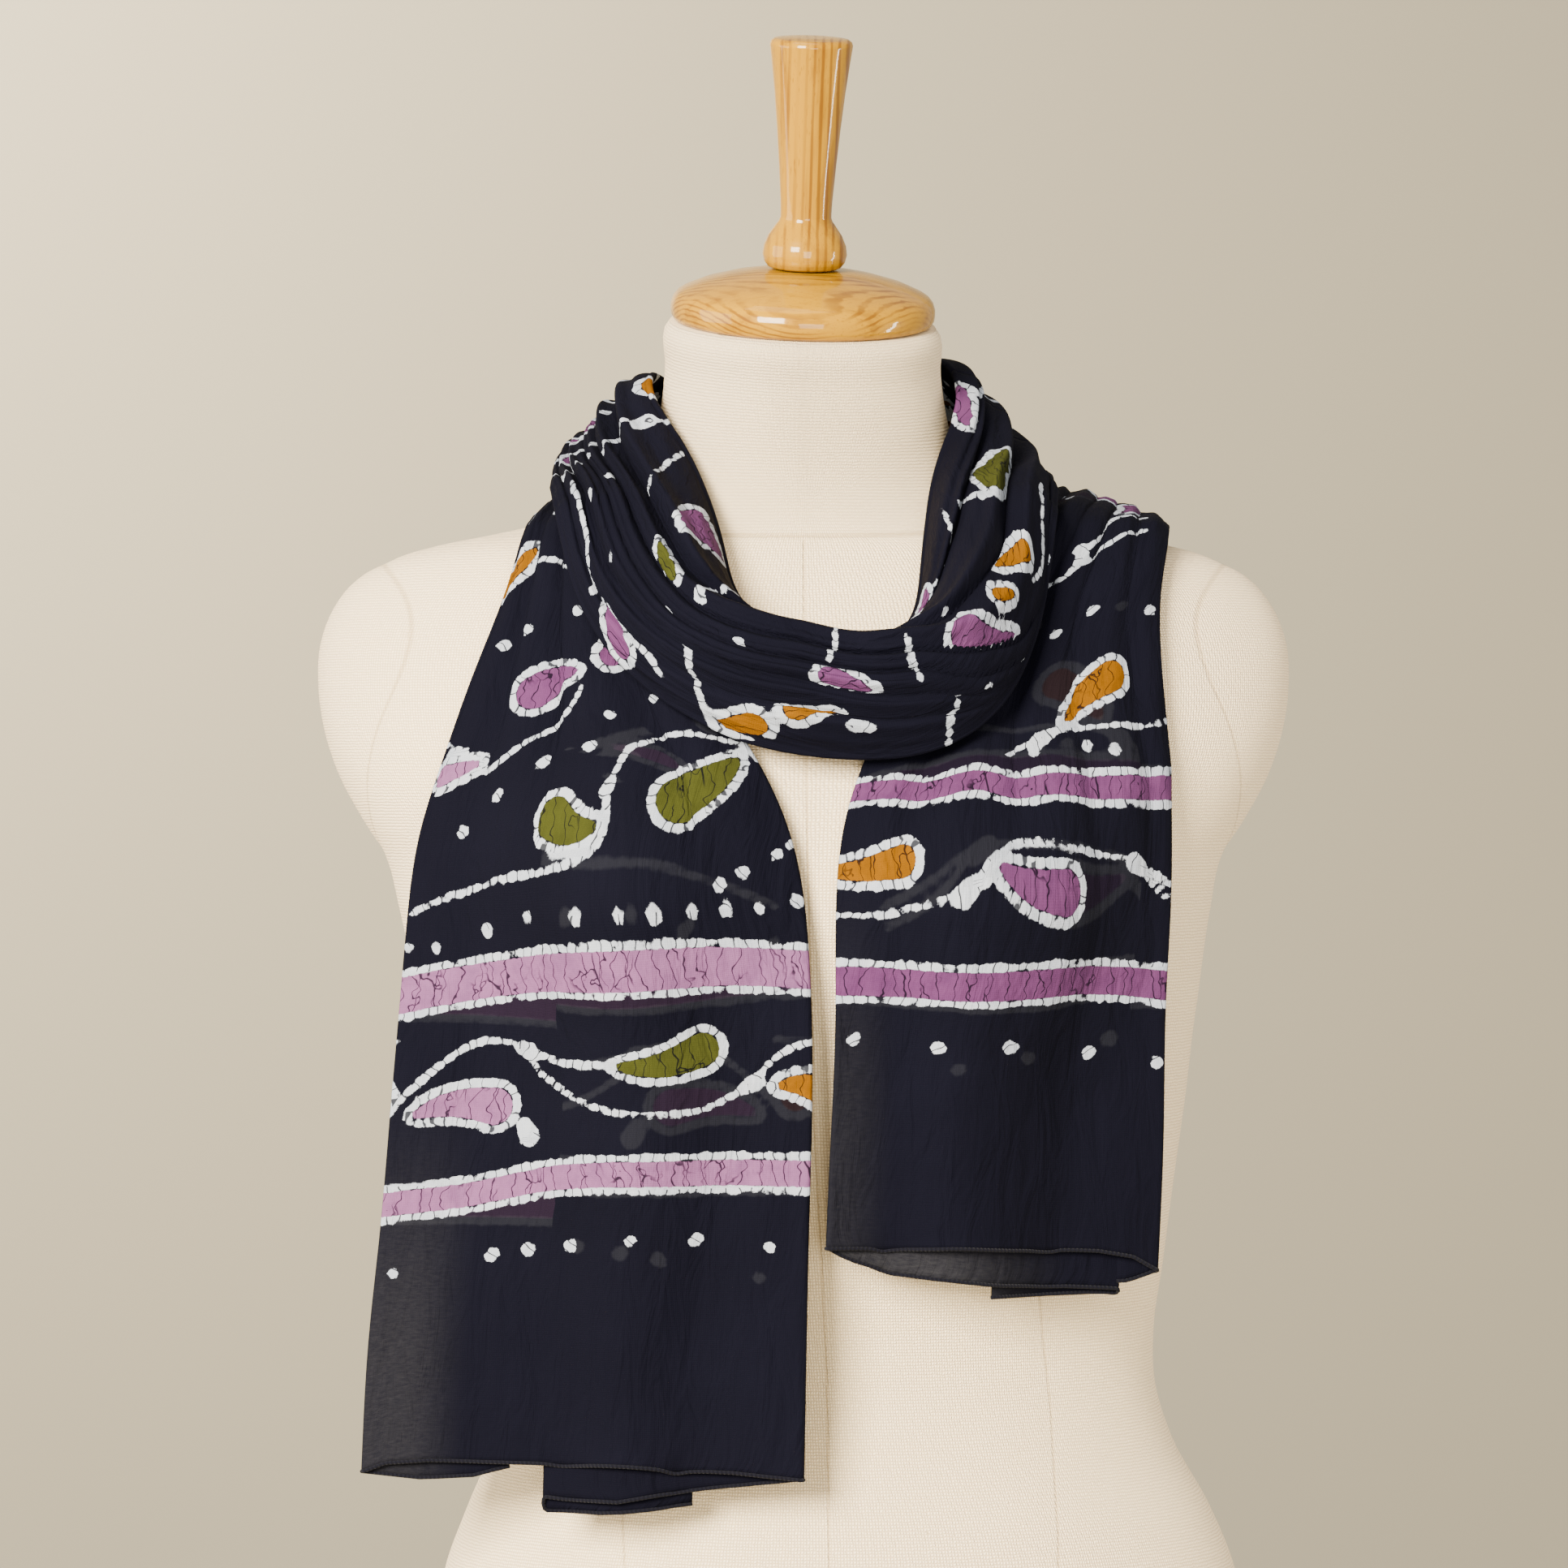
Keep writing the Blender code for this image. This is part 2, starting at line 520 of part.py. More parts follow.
def evened(grid):
    """Each point of a grid drawn half way to the middle of its neighbours, the two ends kept."""
    even = grid.copy()
    even[:, 1:-1] = 0.5 * grid[:, 1:-1] + 0.25 * (grid[:, :-2] + grid[:, 2:])
    even[1:-1] = 0.5 * even[1:-1] + 0.25 * (even[:-2] + even[2:])
    even[0], even[-1] = grid[0], grid[-1]
    return even


def hang(points, order):
    """Below the bust the cloth hangs nearly straight down and leaves the waist clear."""
    for above, below in zip(order[:-1], order[1:]):
        drop = np.maximum(points[above, :, 2] - points[below, :, 2], 0.0)
        points[below, :, 1] = np.minimum(points[below, :, 1], points[above, :, 1] + HANG_BACK * drop)
    return points


def whole_bed():
    """The bed of the whole stole in close rows: its places, columns, points and three directions."""
    rows, knots = stole_path()
    places = np.linspace(0.0, knots[-1], int(knots[-1] / BED_STEP))
    columns = smooth_columns(rows, knots, places)
    across = np.linspace(0.0, 1.0, BED_ACROSS)
    lying = bed(columns, across)
    ends = stretch_ends(knots)
    right = np.nonzero(places <= ends["tail_right"][1])[0]
    left = np.nonzero(places >= ends["tail_left"][0])[0]
    lying = hang(lying, list(right[::-1]))
    lying = hang(lying, list(left))
    for _ in range(3):
        lying = evened(lying)
    lying = keep_off_form(lying, edge_gap(columns, across))
    over = unit(np.gradient(lying, axis=1))
    along = unit(np.gradient(lying, axis=0))
    out = unit(np.cross(over, along))
    for _ in range(BED_PASSES):
        out = unit(evened(out))
    return {
        "places": places, "columns": columns, "across": across, "lying": lying, "over": over,
        "out": out, "ends": ends, "whole": knots[-1],
    }


def read_row(bed_of, key, place):
    """One row of the bed at any place along the stole."""
    grid, places = bed_of[key], bed_of["places"]
    after = min(max(int(np.searchsorted(places, place)), 1), len(places) - 1)
    share = (place - places[after - 1]) / (places[after] - places[after - 1])
    return grid[after - 1] * (1.0 - share) + grid[after] * share


def stretch_surface(name, step, bed_of):
    """The middle of the cloth's wall for one stretch: rows along it by points across it."""
    begin, end = bed_of["ends"][name]
    if name != STRETCHES[0][0]:
        begin += GAP / 2.0
    if name != STRETCHES[-1][0]:
        end -= GAP / 2.0
    points = section(name)
    result = []
    for place in np.linspace(begin, end, max(3, int(round((end - begin) / step)) + 1)):
        columns = read_row(bed_of, "columns", place)
        width = np.linalg.norm(columns[3:6] - columns[0:3])
        grids = [read_row(bed_of, key, place) for key in ("lying", "over", "out")]
        result.append(lay_section(name, points, *grids, bed_of["across"], columns[6], width,
                                  (place - begin) / (end - begin),
                                  min(place, bed_of["whole"] - place)))
    return np.array(result)


def hem_drop(name, layer, share):
    """How far one layer of a tail hangs at each place across its hem."""
    for row in HEMS:
        hem = dict(zip(HEM_COLUMNS, row))
        if hem["stretch"] == name and hem["layer"] == layer:
            return np.interp(share, hem["shares"], hem["drops"])
    return np.zeros(len(share))


def hem_drops(name, share, layer):
    """How far each point of the folded section hangs at the hem, blended from layer to layer."""
    first_show = int(np.argmax(layer > 1.999))
    before = np.arange(len(layer)) < first_show
    under = np.where(before, hem_drop(name, "wrap", share), hem_drop(name, "outer", share))
    inner, show = hem_drop(name, "inner", share), hem_drop(name, "show", share)
    upper = np.clip(layer - 1.0, 0.0, 1.0)
    lower = np.clip(1.0 - layer, 0.0, 1.0)
    return under * (1.0 - upper - lower) + inner * lower + show * upper


def lay_section(name, points, lying, over, out, across, loft, width, share_along, from_end):
    """One section placed on its bed: layers, loft, soft folds and the uneven hem."""
    share, layer, reach = points[:, 0], points[:, 1], points[:, 2]

    def read(grid):
        return np.stack([np.interp(share, across, grid[:, axis]) for axis in range(3)], axis=1)

    bulge = loft * np.sin(np.pi * share) ** 0.75
    high = bulge + show_height(name, share, share_along, width)
    stands = layer * PITCH + high * np.clip(layer - 1.0, 0.0, 1.0) * (np.abs(reach) < 1e-9)
    place = read(lying) + unit(read(out)) * stands[:, None] + unit(read(over)) * reach[:, None]
    fade = max(0.0, 1.0 - from_end / HEM_DROP_FADES) ** 2
    return place + np.array((0.0, 0.0, -1.0)) * (hem_drops(name, share, layer) * fade)[:, None]


def thick_sheet(name, surface, wall, coat):
    """A closed wall about a surface of rows and columns."""
    rows, columns = surface.shape[:2]
    over = np.gradient(surface, axis=1)
    along = np.gradient(surface, axis=0)
    out = unit(np.cross(over, along))
    points = np.concatenate([(surface + out * side * wall / 2.0).reshape(-1, 3) for side in (1, -1)])
    back = rows * columns
    faces = []
    for row in range(rows - 1):
        for column in range(columns - 1):
            corner = row * columns + column
            across = corner + columns + 1
            for face in ((corner, corner + 1, across), (corner, across, corner + columns)):
                faces.append(face)
                faces.append(tuple(number + back for number in reversed(face)))
    rim = [column for column in range(columns)]
    rim += [row * columns + columns - 1 for row in range(1, rows)]
    rim += [(rows - 1) * columns + column for column in range(columns - 2, -1, -1)]
    rim += [row * columns for row in range(rows - 2, 0, -1)]
    for here, after in zip(rim, rim[1:] + rim[:1]):
        faces.append((here, here + back, after + back, after))
    return object_from(name, points, faces, coat)


def build_stole():
    batik = material("batik")
    bed_of = whole_bed()
    for name, _, step in STRETCHES:
        thick_sheet(name, stretch_surface(name, step, bed_of), WALL, batik)


def main():
    clear_scene()
    build_form()
    build_wood()
    build_stole()


main()
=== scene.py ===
"""A batik stole wound once round the neck of a limbless dress form: its cloth, canvas, wood and studio."""

import math

import bmesh
import bpy
import numpy as np
from bpy.props import FloatProperty, FloatVectorProperty, IntProperty, PointerProperty
from mathutils import Matrix, Vector


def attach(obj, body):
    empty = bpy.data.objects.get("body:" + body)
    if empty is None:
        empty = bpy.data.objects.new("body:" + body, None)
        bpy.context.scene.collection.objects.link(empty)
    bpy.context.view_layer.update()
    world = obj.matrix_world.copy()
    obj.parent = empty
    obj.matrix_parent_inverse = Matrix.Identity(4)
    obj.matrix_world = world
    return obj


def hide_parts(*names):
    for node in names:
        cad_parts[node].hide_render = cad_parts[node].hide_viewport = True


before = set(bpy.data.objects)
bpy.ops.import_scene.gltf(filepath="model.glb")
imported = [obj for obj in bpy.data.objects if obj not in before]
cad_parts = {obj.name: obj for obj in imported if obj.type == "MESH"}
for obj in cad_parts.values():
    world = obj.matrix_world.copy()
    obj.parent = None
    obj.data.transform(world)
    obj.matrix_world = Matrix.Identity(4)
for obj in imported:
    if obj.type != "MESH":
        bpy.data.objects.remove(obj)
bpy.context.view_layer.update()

bl_info = {
    "name": "Batik stole on a dress form",
    "version": (1, 0, 0),
    "blender": (4, 5, 0),
    "location": "3D View > Sidebar > Stole",
    "description": "Dresses a form in canvas, turned wood and a wound batik stole",
    "category": "Object",
}

MM = 0.001

# ---------------------------------------------------------------- dress form, in millimetres
FORM_SIDES = 160
FORM_ROWS = 190
BUST_HEIGHT = 416
BUST_APART = 76
BUST_STANDS_OUT = 25
BUST_SPREAD_ACROSS = 46
BUST_SPREAD_UP = 52
BUST_FADES = 40
TILT_PASSES = 4
PROBE = 0.6
FORM_COLUMNS = ("height", "half_width", "front", "back", "lean", "square", "tip")
FORM_RINGS = (
    (0, 162, 99, 113, 16, 2.15, 0),
    (8, 165, 101.5, 116, 16, 2.15, 0),
    (60, 171, 106, 123, 16, 2.15, 0),
    (100, 172.5, 108.5, 125.5, 16, 2.15, 0),
    (134, 168, 107, 123, 15.5, 2.15, 0),
    (160, 158, 103, 115, 15, 2.15, 0),
    (190, 143.5, 96, 102, 13, 2.15, 0),
    (215, 137.5, 92, 94, 11.5, 2.15, 0),
    (235, 138.5, 92, 92, 10, 2.15, 0),
    (265, 144.5, 96, 94, 8, 2.15, 0),
    (300, 151.5, 101, 97, 5.5, 2.15, 0),
    (340, 159, 106, 101, 3.5, 2.15, 0),
    (362, 162.5, 108, 103, 2.5, 2.15, 0),
    (382, 166.3, 110, 105, 1.5, 2.15, 0),
    (399, 169, 111, 106.5, 1, 2.15, 0),
    (415, 172, 112, 108, 0.5, 2.2, 0),
    (436, 177, 110, 109, 0, 2.25, 0),
    (452, 187, 107, 110, 0, 2.25, 0),
    (470, 197, 102, 110, 0, 2.25, 0),
    (490, 204, 94, 110, 0, 2.25, 0),
    (510, 207, 84, 108, 0, 2.2, 0),
    (526, 206.5, 75, 105, 0, 2.15, 0),
    (540, 202, 67, 101, 0, 2.1, 0),
    (550, 195.5, 61.5, 96.5, 0, 2.05, 0),
    (558, 186, 57.5, 91.5, 0, 2, 0),
    (564, 173, 54.5, 87, 0, 2, 0),
    (569, 155, 52.5, 83, 0, 2, 0),
    (573, 134, 51.5, 79.5, 0, 2, 0.5),
    (577.5, 113, 50.5, 75.5, 0, 2, 1),
    (583, 95, 50, 72, 0, 2, 1.5),
    (590, 81, 50, 68.5, 0, 2, 3),
    (598, 71.5, 50.5, 66, 0.2, 2, 4.5),
    (609, 65, 52, 63.5, 0.2, 2, 6.5),
    (624, 61, 55.5, 59.5, 0, 2, 9),
    (643, 58.5, 60.5, 54.5, -0.3, 2, 11.5),
    (660, 57.8, 65.5, 49.5, -0.5, 2, 13),
    (662, 56.3, 64.5, 48, -0.5, 2, 13),
)
ARM_CAP_HEIGHT = 498
ARM_CAP_BACK = 12
ARM_CAP_HALF_TALL = 63
ARM_CAP_HALF_DEEP = 61
# Sewn lines of the cover: across, and height, from top to bottom.
CENTRE_SEAM = ((-1, 640), (0, 560), (0.8, 460), (4, 330), (9, 230), (10.5, 130), (11, 0))
PRINCESS_SEAM = ((98, 560), (84, 500), (76, 420), (80, 340), (88, 262), (90, 208),
                 (89, 148), (88, 100), (84, 0))
SEAMS = ("seam_centre", "seam_princess", "seam_neck", "seam_arm", "seam_side")
NO_SEAM = 30.0
NECK_SEAM_HEIGHT = 567
NECK_SEAM_RISES = 24
NECK_SEAM_REACH = 130
ARM_CAP_INNER = 140
SIDE_SEAM_INNER = 90
SIDE_SEAM_TOP = 500
GROOVE_HALF_WIDE = 2.4
GROOVE_DEEP = 0.5

# ---------------------------------------------------------------- turned wood
NECK_LEAN = 1.8
NECK_TIP = 13
NECK_TOP = (-0.5, -8, 662)
WOOD_GAP = 0.3
CAP_PITH = (20, 30, 22)
WELD = 1e-6
CAP_PROFILE = (
    (0, 0), (49.5, 0), (52.5, 0.1), (54.6, 1), (55.8, 3), (56.1, 5.2), (56, 7.5), (55.1, 10.2),
    (53.4, 12.3), (51, 13.8), (43, 17.2), (32, 20.2), (21, 22.2), (13, 23), (0, 23.2),
)
FINIAL_PROFILE = (
    (0, 23.3), (11, 23.3), (14, 23.6), (15.5, 24.2), (17.2, 26.4), (17.9, 29.5), (17.4, 33.2),
    (15.6, 37.4), (13, 41.2), (11.4, 43.4), (10.8, 45), (10.8, 47), (11, 52), (12.1, 67),
    (13.5, 83), (15, 98), (16.5, 110), (17.3, 116), (17.5, 117.6), (17, 119),
    (15.6, 120), (9, 120.6), (0, 120.7),
)

# ---------------------------------------------------------------- stole: where it lies
# From one folded layer to the next, and from one stretch to the next.
PITCH = 2.6
GAP = 0.3
STOLE_COLUMNS = (
    "neck_x", "neck_y", "neck_z", "outer_x", "outer_y", "outer_z", "loft", "off_neck", "off_outer",
)
NECK_EDGE, OUTER_EDGE = slice(0, 3), slice(3, 6)
LOFT, OFF_NECK, OFF_OUTER = (STOLE_COLUMNS.index(name) for name in ("loft", "off_neck", "off_outer"))
TAIL_RIGHT = (
    (9, -124, 280, 142, -92, 269, 0, 2.5, 2.5),
    (11, -124, 324, 144.5, -90, 321, 0, 2.5, 2.5),
    (13.5, -124, 374, 145, -88, 376, 0, 4.5, 4.5),
    (14.5, -122, 413, 147, -86, 415, 0, 4.5, 4.5),
    (16, -118, 443, 147.5, -82, 444, 0, 4.5, 4.5),
    (20.5, -113, 464, 146, -76, 470, 0, 4.5, 4.5),
    (28, -107, 482, 146, -70, 497, 0, 2.5, 2.5),
    (36, -96, 503, 145, -60, 521, 0, 2.5, 2.5),
    (49, -83, 524, 145.5, -46, 541, 0, 2.5, 2.5),
    (65, -64, 545, 147.5, -32, 556, 0, 3, 3.5),
    (82, -40, 566, 151, -14, 567, 2, 3.5, 3.5),
    (95, -12, 580, 154, 4, 573, 4, 2.5, 2.5),
)
WRAP_OUTER = (
    (101, 16, 588, 155, 26, 573, 5, 3, 3),
    (98, 44, 588, 146, 58, 565, 4, 4, 4),
    (86, 68, 590, 120, 88, 555, 3, 7, 5),
    (64, 84, 598, 82, 103, 553, 4, 11, 8),
    (36, 91, 614, 42, 112.5, 562, 5, 15, 11.5),
    (6, 88, 634, 2, 114, 576, 6, 14, 13),
    (-22, 79, 646, -39, 107, 587, 5, 14, 14),
    (-44, 59, 641, -77, 86, 602, 2, 11, 14),
    (-57, 34, 635, -99, 54, 609, 0, 6, 14),
)
LOOP_FRONT = (
    (-59.5, 8, 642, -102, 18, 601, 0, 2.6, 12),
    (-55.5, -20, 627, -103, -10, 587, 2, 3, 13),
    (-48, -39, 606, -100, -34, 569, 7, 4, 14),
    (-39, -53, 582, -95, -57, 547, 13, 7, 14),
    (-32.5, -66, 558, -85, -79, 524, 19, 11, 14),
    (-29, -76, 536, -65, -97, 502, 22, 13, 14),
    (-15, -84, 526, -39, -110, 486, 25, 13, 14),
    (2, -87, 523.5, -8, -117, 478, 27, 11, 13),
    (20, -87, 518, 25, -120, 475, 27, 12.5, 14),
    (36, -84, 515.5, 56, -116, 475, 26, 14.5, 15),
    (44.5, -75, 523, 76, -105, 488, 23, 13, 15),
    (47.5, -63, 545, 89, -86, 511, 20, 10, 14),
    (50, -51, 570, 97, -66, 534, 15, 7, 13),
    (53.5, -37, 593, 100, -42, 559, 10, 3, 13),
    (57.5, -16, 620, 101.5, -14, 582, 3, 3, 13),
)
WRAP_INNER = (
    (59.5, 8, 643, 99.5, 16, 590, 1, 2.6, 12),
    (54.5, 29, 647, 93, 45, 595, 2, 3, 10),
    (38, 51, 649, 72, 74, 600, 5, 3, 6),
    (12, 64, 643, 36, 90, 594, 3, 3, 3),
    (-16, 68, 632, -6, 98, 584, 3, 3, 3),
    (-42, 61, 620, -50, 96, 571, 2, 3, 3),
    (-61, 43, 610, -87, 81, 567, 1, 3, 3),
    (-70, 20, 605, -106, 50, 574, 0, 3, 3),
)
TAIL_LEFT = (
    (-73, -4, 598, -104.5, 18, 579, 0, 2.5, 2.5),
    (-75, -28, 584, -107, -10, 575, 0, 2.5, 2.5),
    (-73, -48, 566, -113.5, -34, 562, 0, 2.5, 2.5),
    (-64, -66, 545, -121.5, -52, 543, 0, 2.5, 2.5),
    (-50, -84, 521, -131, -66, 519, 0, 2.5, 2.5),
    (-35, -98, 499, -138, -76, 500, 0, 2.5, 2.5),
    (-20, -107, 476, -145.5, -80, 475, 0, 4.5, 4.5),
    (-7, -114, 446, -156, -80, 446, 0, 4.5, 4.5),
    (-1, -120, 413, -160.5, -82, 408, 0, 4.5, 4.5),
    (2, -124, 376, -163.5, -86, 373, 0, 4.5, 4.5),
    (2.5, -125, 337, -167, -90, 332, 0, 2.5, 2.5),
    (1, -125, 289, -170.5, -92, 288, 0, 2.5, 2.5),
    (0, -125, 240, -176, -94, 238, 0, 2.5, 2.5),
    (-1, -125, 187, -178.5, -95, 187, 0, 2.5, 2.5),
)
STRETCHES = (
    ("tail_right", TAIL_RIGHT),
    ("wrap_outer", WRAP_OUTER),
    ("loop_front", LOOP_FRONT),
    ("wrap_inner", WRAP_INNER),
    ("tail_left", TAIL_LEFT),
)
# How each stretch is held, and what it rests on.
# Where the folded layers end, counted in twelfths of the band's width from the edge at the neck.
PARTS = 12
LAYER_COLUMNS = ("inner_end", "inner_fold", "outer_end")
LAYERS = {
    "tail_right": (6, 10.6, 10.6),
    "wrap_outer": (4, 7, 9),
    "loop_front": (4, 7, 9),
    "wrap_inner": (4, 7, 9),
    "tail_left": (3, 7, 8),
}
# How far each layer of a tail's hem hangs below the straight line between the band's corners: the
# tail, the layer, places across the band and the drop at each.
HEM_COLUMNS = ("stretch", "layer", "shares", "drops")
HEMS = (
    ("tail_right", "inner", (0.5, 0.65, 0.83), (15, 13.5, 11)),
    ("tail_right", "wrap", (0, 0.06, 0.2, 0.5, 0.83), (0, 4, 8, 10, 9)),
    ("tail_right", "show", (0, 0.3, 0.57, 0.82, 0.93, 1), (0, -3, -5, -6, -4.5, 0)),
    ("tail_right", "outer", (0.8, 0.92, 1), (7, 5.5, 1)),
    ("tail_left", "inner", (0.25, 0.33, 0.45, 0.58), (11, 13, 15, 15)),
    ("tail_left", "wrap", (0, 0.3, 0.42, 0.58), (0, 6, 10.5, 9)),
    ("tail_left", "show", (0, 0.15, 0.5, 0.85, 0.95, 1), (0, -2.5, -4.5, -5, -3.5, 0)),
    ("tail_left", "outer", (0.67, 0.75, 0.87, 1), (-3, 1, 2.5, 0.5)),
)
HEM_DROP_FADES = 150
HANG_BACK = 0.06
# How fine the bed and the cloth are, and how they are smoothed.
BED_STEP = 5
BED_ACROSS = 25
BED_PASSES = 16
SHOW_POINTS = 108
HIDDEN_FINER = 2
TURN_POINTS = 3
CORD_SIDES = 10
ROW_STEP = 2.6
PUSH_PASSES = 6
MOST_PUSHED = 8.0
SETTLE_PASSES = 3
CREASE_PASSES = 6
# The show side is the layer that lies on two others. Its bulge is flatter than a half wave, and the
# parts near its two edges stay firm.
SHOW_LAYER = 1.999
BULGE_POWER = 0.75
FIRM_EDGE = 0.12
# The rows between which the cloth gathers towards the neck, and opens out again.
GATHERS = (3, 10)
OPENS = (46, 53)
CREASE_HALF_WIDE = 0.012
# A pleat's dome: how round a soft one is, how much rounder than a sharp one, how far a sharp one leans
# and how deep the small ripple on it is.
DOME_ROUND = 1.6
DOME_SHARPENS = 1.15
PLEAT_LEANS = 0.6
PLEAT_RIPPLE = 0.22
# Small waves of hanging cloth: how fast each turns across and up, where it starts, and its size.
RUMPLES = (
    (0.021, 0.043, 0.4, 0.5),
    (0.067, 0.019, 1.9, 0.35),
    (0.11, -0.05, 3.1, 0.18),
    (-0.05, 0.13, 5, 0.14),
    (0.19, 0.08, 2.2, 0.07),
)
# How far up from its hem a tail is sheer, and then its edge, and how sheer each tail is.
SHEER_FADES = (40, 170)
EDGE_SHEER_FADES = (4, 24)
RIGHT_SHEER = 0.4
LEFT_SHEER = 0.6

# Creases between the pleats: the cloth hidden in each one, and its share across the band at places
# along the stole. A place is a row of the tables above, counted from the hem of the right tail.
CREASES = (
    (9, (
        (0, 0), (10, 0), (14, 0.06), (20, 0), (27, 0), (30.5, 0), (31.5, 0.13), (33, 0.24), (35, 0.26),
        (38, 0.22), (42, 0.2), (46, 0.12), (50, 0), (57, 0),
    )),
    (12, (
        (0, 0.24), (4, 0.22), (8, 0.2), (12, 0.22), (16, 0.26), (20, 0.32), (22, 0.38), (24, 0.38),
        (25.5, 0.30), (27, 0.04), (28, 0), (29.5, 0), (31, 0.34), (33, 0.64), (35, 0.6), (38, 0.4),
        (42, 0.36), (46, 0.3), (50, 0.27), (57, 0.25),
    )),
    (12, (
        (0, 0.47), (5, 0.48), (8, 0.46), (12, 0.44), (16, 0.46), (20, 0.54), (22, 0.56), (24, 0.54),
        (26, 0.46), (28, 0.33), (30, 0.43), (31, 0.66), (32, 0.92), (33, 1), (36, 0.9), (38, 0.62),
        (42, 0.6), (46, 0.6), (50, 0.61), (53, 0.6), (57, 0.56),
    )),
    (8, (
        (0, 0.72), (5, 0.7), (8, 0.64), (12, 0.6), (16, 0.62), (20, 0.68), (22, 0.68), (24, 0.66),
        (26, 0.6), (28, 0.51), (30, 0.6), (31, 0.82), (32, 1), (36, 1), (38, 0.8), (42, 0.78), (46, 0.82),
        (50, 0.82), (57, 0.8),
    )),
    (10, (
        (0, 1), (8, 0.86), (12, 0.78), (16, 0.78), (20, 0.82), (22, 0.83), (24, 0.8), (26, 0.73),
        (28, 0.67), (30, 0.75), (31, 0.92), (31.7, 1), (38, 1), (42, 0.92), (46, 1), (57, 1),
    )),
    (8, (
        (0, 1), (10, 1), (14, 0.92), (20, 0.95), (24, 0.92), (26, 0.86), (28, 0.83), (30, 0.88),
        (31, 0.97), (31.7, 1), (57, 1),
    )),
)
# How far pleats stand out at most, how deep they are for their width, and how sharp the valleys are.
PLEAT_COLUMNS = ("place", "most", "deep", "sharp")
PLEATS = (
    (0, 0.6, 0.02, 0),
    (3, 1.4, 0.04, 0),
    (5, 4, 0.12, 0.4),
    (8, 3, 0.1, 0.5),
    (12, 3.4, 0.18, 0.7),
    (16, 6, 0.4, 0.9),
    (20, 6, 0.42, 1),
    (23, 7.5, 0.5, 1),
    (28, 8.5, 0.5, 1),
    (33, 7.5, 0.5, 1),
    (36, 6, 0.42, 0.9),
    (40, 4.5, 0.34, 0.8),
    (44, 4, 0.24, 0.7),
    (48, 4, 0.1, 0.4),
    (51, 2.4, 0.05, 0.1),
    (54, 1, 0.02, 0),
    (57, 0.6, 0.02, 0),
)

# ---------------------------------------------------------------- the print, in millimetres
# Across is measured inwards from the outer fold of the band, and up from the nearer hem. A band has its
# dye, half its width and its line, and a vine its width and its line. A drop has the columns below. A blob
# has its place, half its length, half its width and its turn in degrees, and a dot has its place.
DROP_COLUMNS = ("tip_across", "tip_up", "across", "up", "radius", "bend", "dye")
DYES = ("olive", "ochre", "mauve", "pink")
WAX_WIDE = 3.5
NO_PRINT = 9.0
NO_LAYER = -400.0
CHART_MARGIN = 30.0
# A drop's line starts at its tip, in so many steps, and it swells by this power towards its round end.
TIP_RADIUS = 0.4
DROP_STEPS = 8
DROP_SWELL = 0.58
DYE_INSIDE = 0.2
# A vine's narrowest width as a share of its widest, what it swells by, and how often.
VINE_NARROW = 0.72
VINE_SWELLS = 0.28
VINE_TURNS = 0.11
CHART_REPEATS = 196
LEFT_CHART = {
    "reach": (0, 400),
    "bands": (
        ("pink", 6.1, ((0, 109), (33, 113), (70, 120.5), (135, 123), (180, 122))),
        ("pink", 8.6, ((0, 195), (30, 201), (70, 208.5), (135, 209), (180, 203))),
    ),
    "drops": (
        (99, 168, 135, 173.5, 7.9, -3, "olive"), (8, 146, 43, 150, 7.8, 3, "pink"),
        (166, 157, 188, 153, 6.6, 2, "ochre"), (95, 253, 72, 259.5, 7.9, 3, "olive"),
        (148, 288, 125.5, 265.5, 10.4, 2, "olive"), (72, 327, 46.5, 316.5, 8.2, -3, "mauve"),
        (26, 388, 8, 371, 6.4, 2, "ochre"), (94, 354, 86, 334, 5, 0, "mauve"),
        (26, 287, 8, 283, 4.6, 0, "pink"),
    ),
    "vines": (
        (4.2, ((55, 174), (75, 168.5), (99, 168.5))),
        (3.2, ((56, 172), (64, 163), (82, 153), (101, 148), (117, 147), (134, 148), (147, 153), (156, 158))),
        (3.4, ((-4, 146), (0, 150), (14, 163), (31, 175), (45, 177), (55, 174))),
        (3.2, ((156, 158), (166, 169), (178, 174), (196, 176))),
        (3.2, ((2, 229), (22, 236), (48, 241), (77, 242), (94, 245), (98, 252), (95, 267), (97, 279),
               (100, 288), (119, 296), (140, 296), (154, 293))),
        (2.8, ((0, 374), (9, 377), (23, 382), (40, 382), (67, 377))),
        (3, ((0, 297), (10, 294), (19, 291), (30, 283), (48, 293), (66, 305), (74, 318))),
        (3, ((110, 392), (128, 372), (134, 352), (150, 340), (172, 338))),
    ),
    "blobs": (
        (55, 174, 5.4, 3.6, -18), (156, 158, 5.8, 3.8, 30), (57.5, 140, 7, 4.4, -60),
        (94.5, 267, 5, 3, 80), (156, 294, 7.6, 5, -20), (21, 285, 5, 3.2, 25),
    ),
    "dots": (
        (6, 80.5), (47, 88), (62, 91), (81, 93), (108, 96), (135, 96), (165, 93), (1, 215), (14, 215),
        (38, 223), (60, 228), (87, 228), (106, 228), (120, 228), (136, 228), (151, 228), (165, 228),
        (181, 231), (149, 236), (158, 241), (171, 249), (176, 254), (40, 272), (23, 260), (58, 283),
        (81, 288), (87, 304), (111, 314), (70, 356), (38, 348), (23, 340), (150, 318), (168, 300),
    ),
    "dot": 2.7,
}
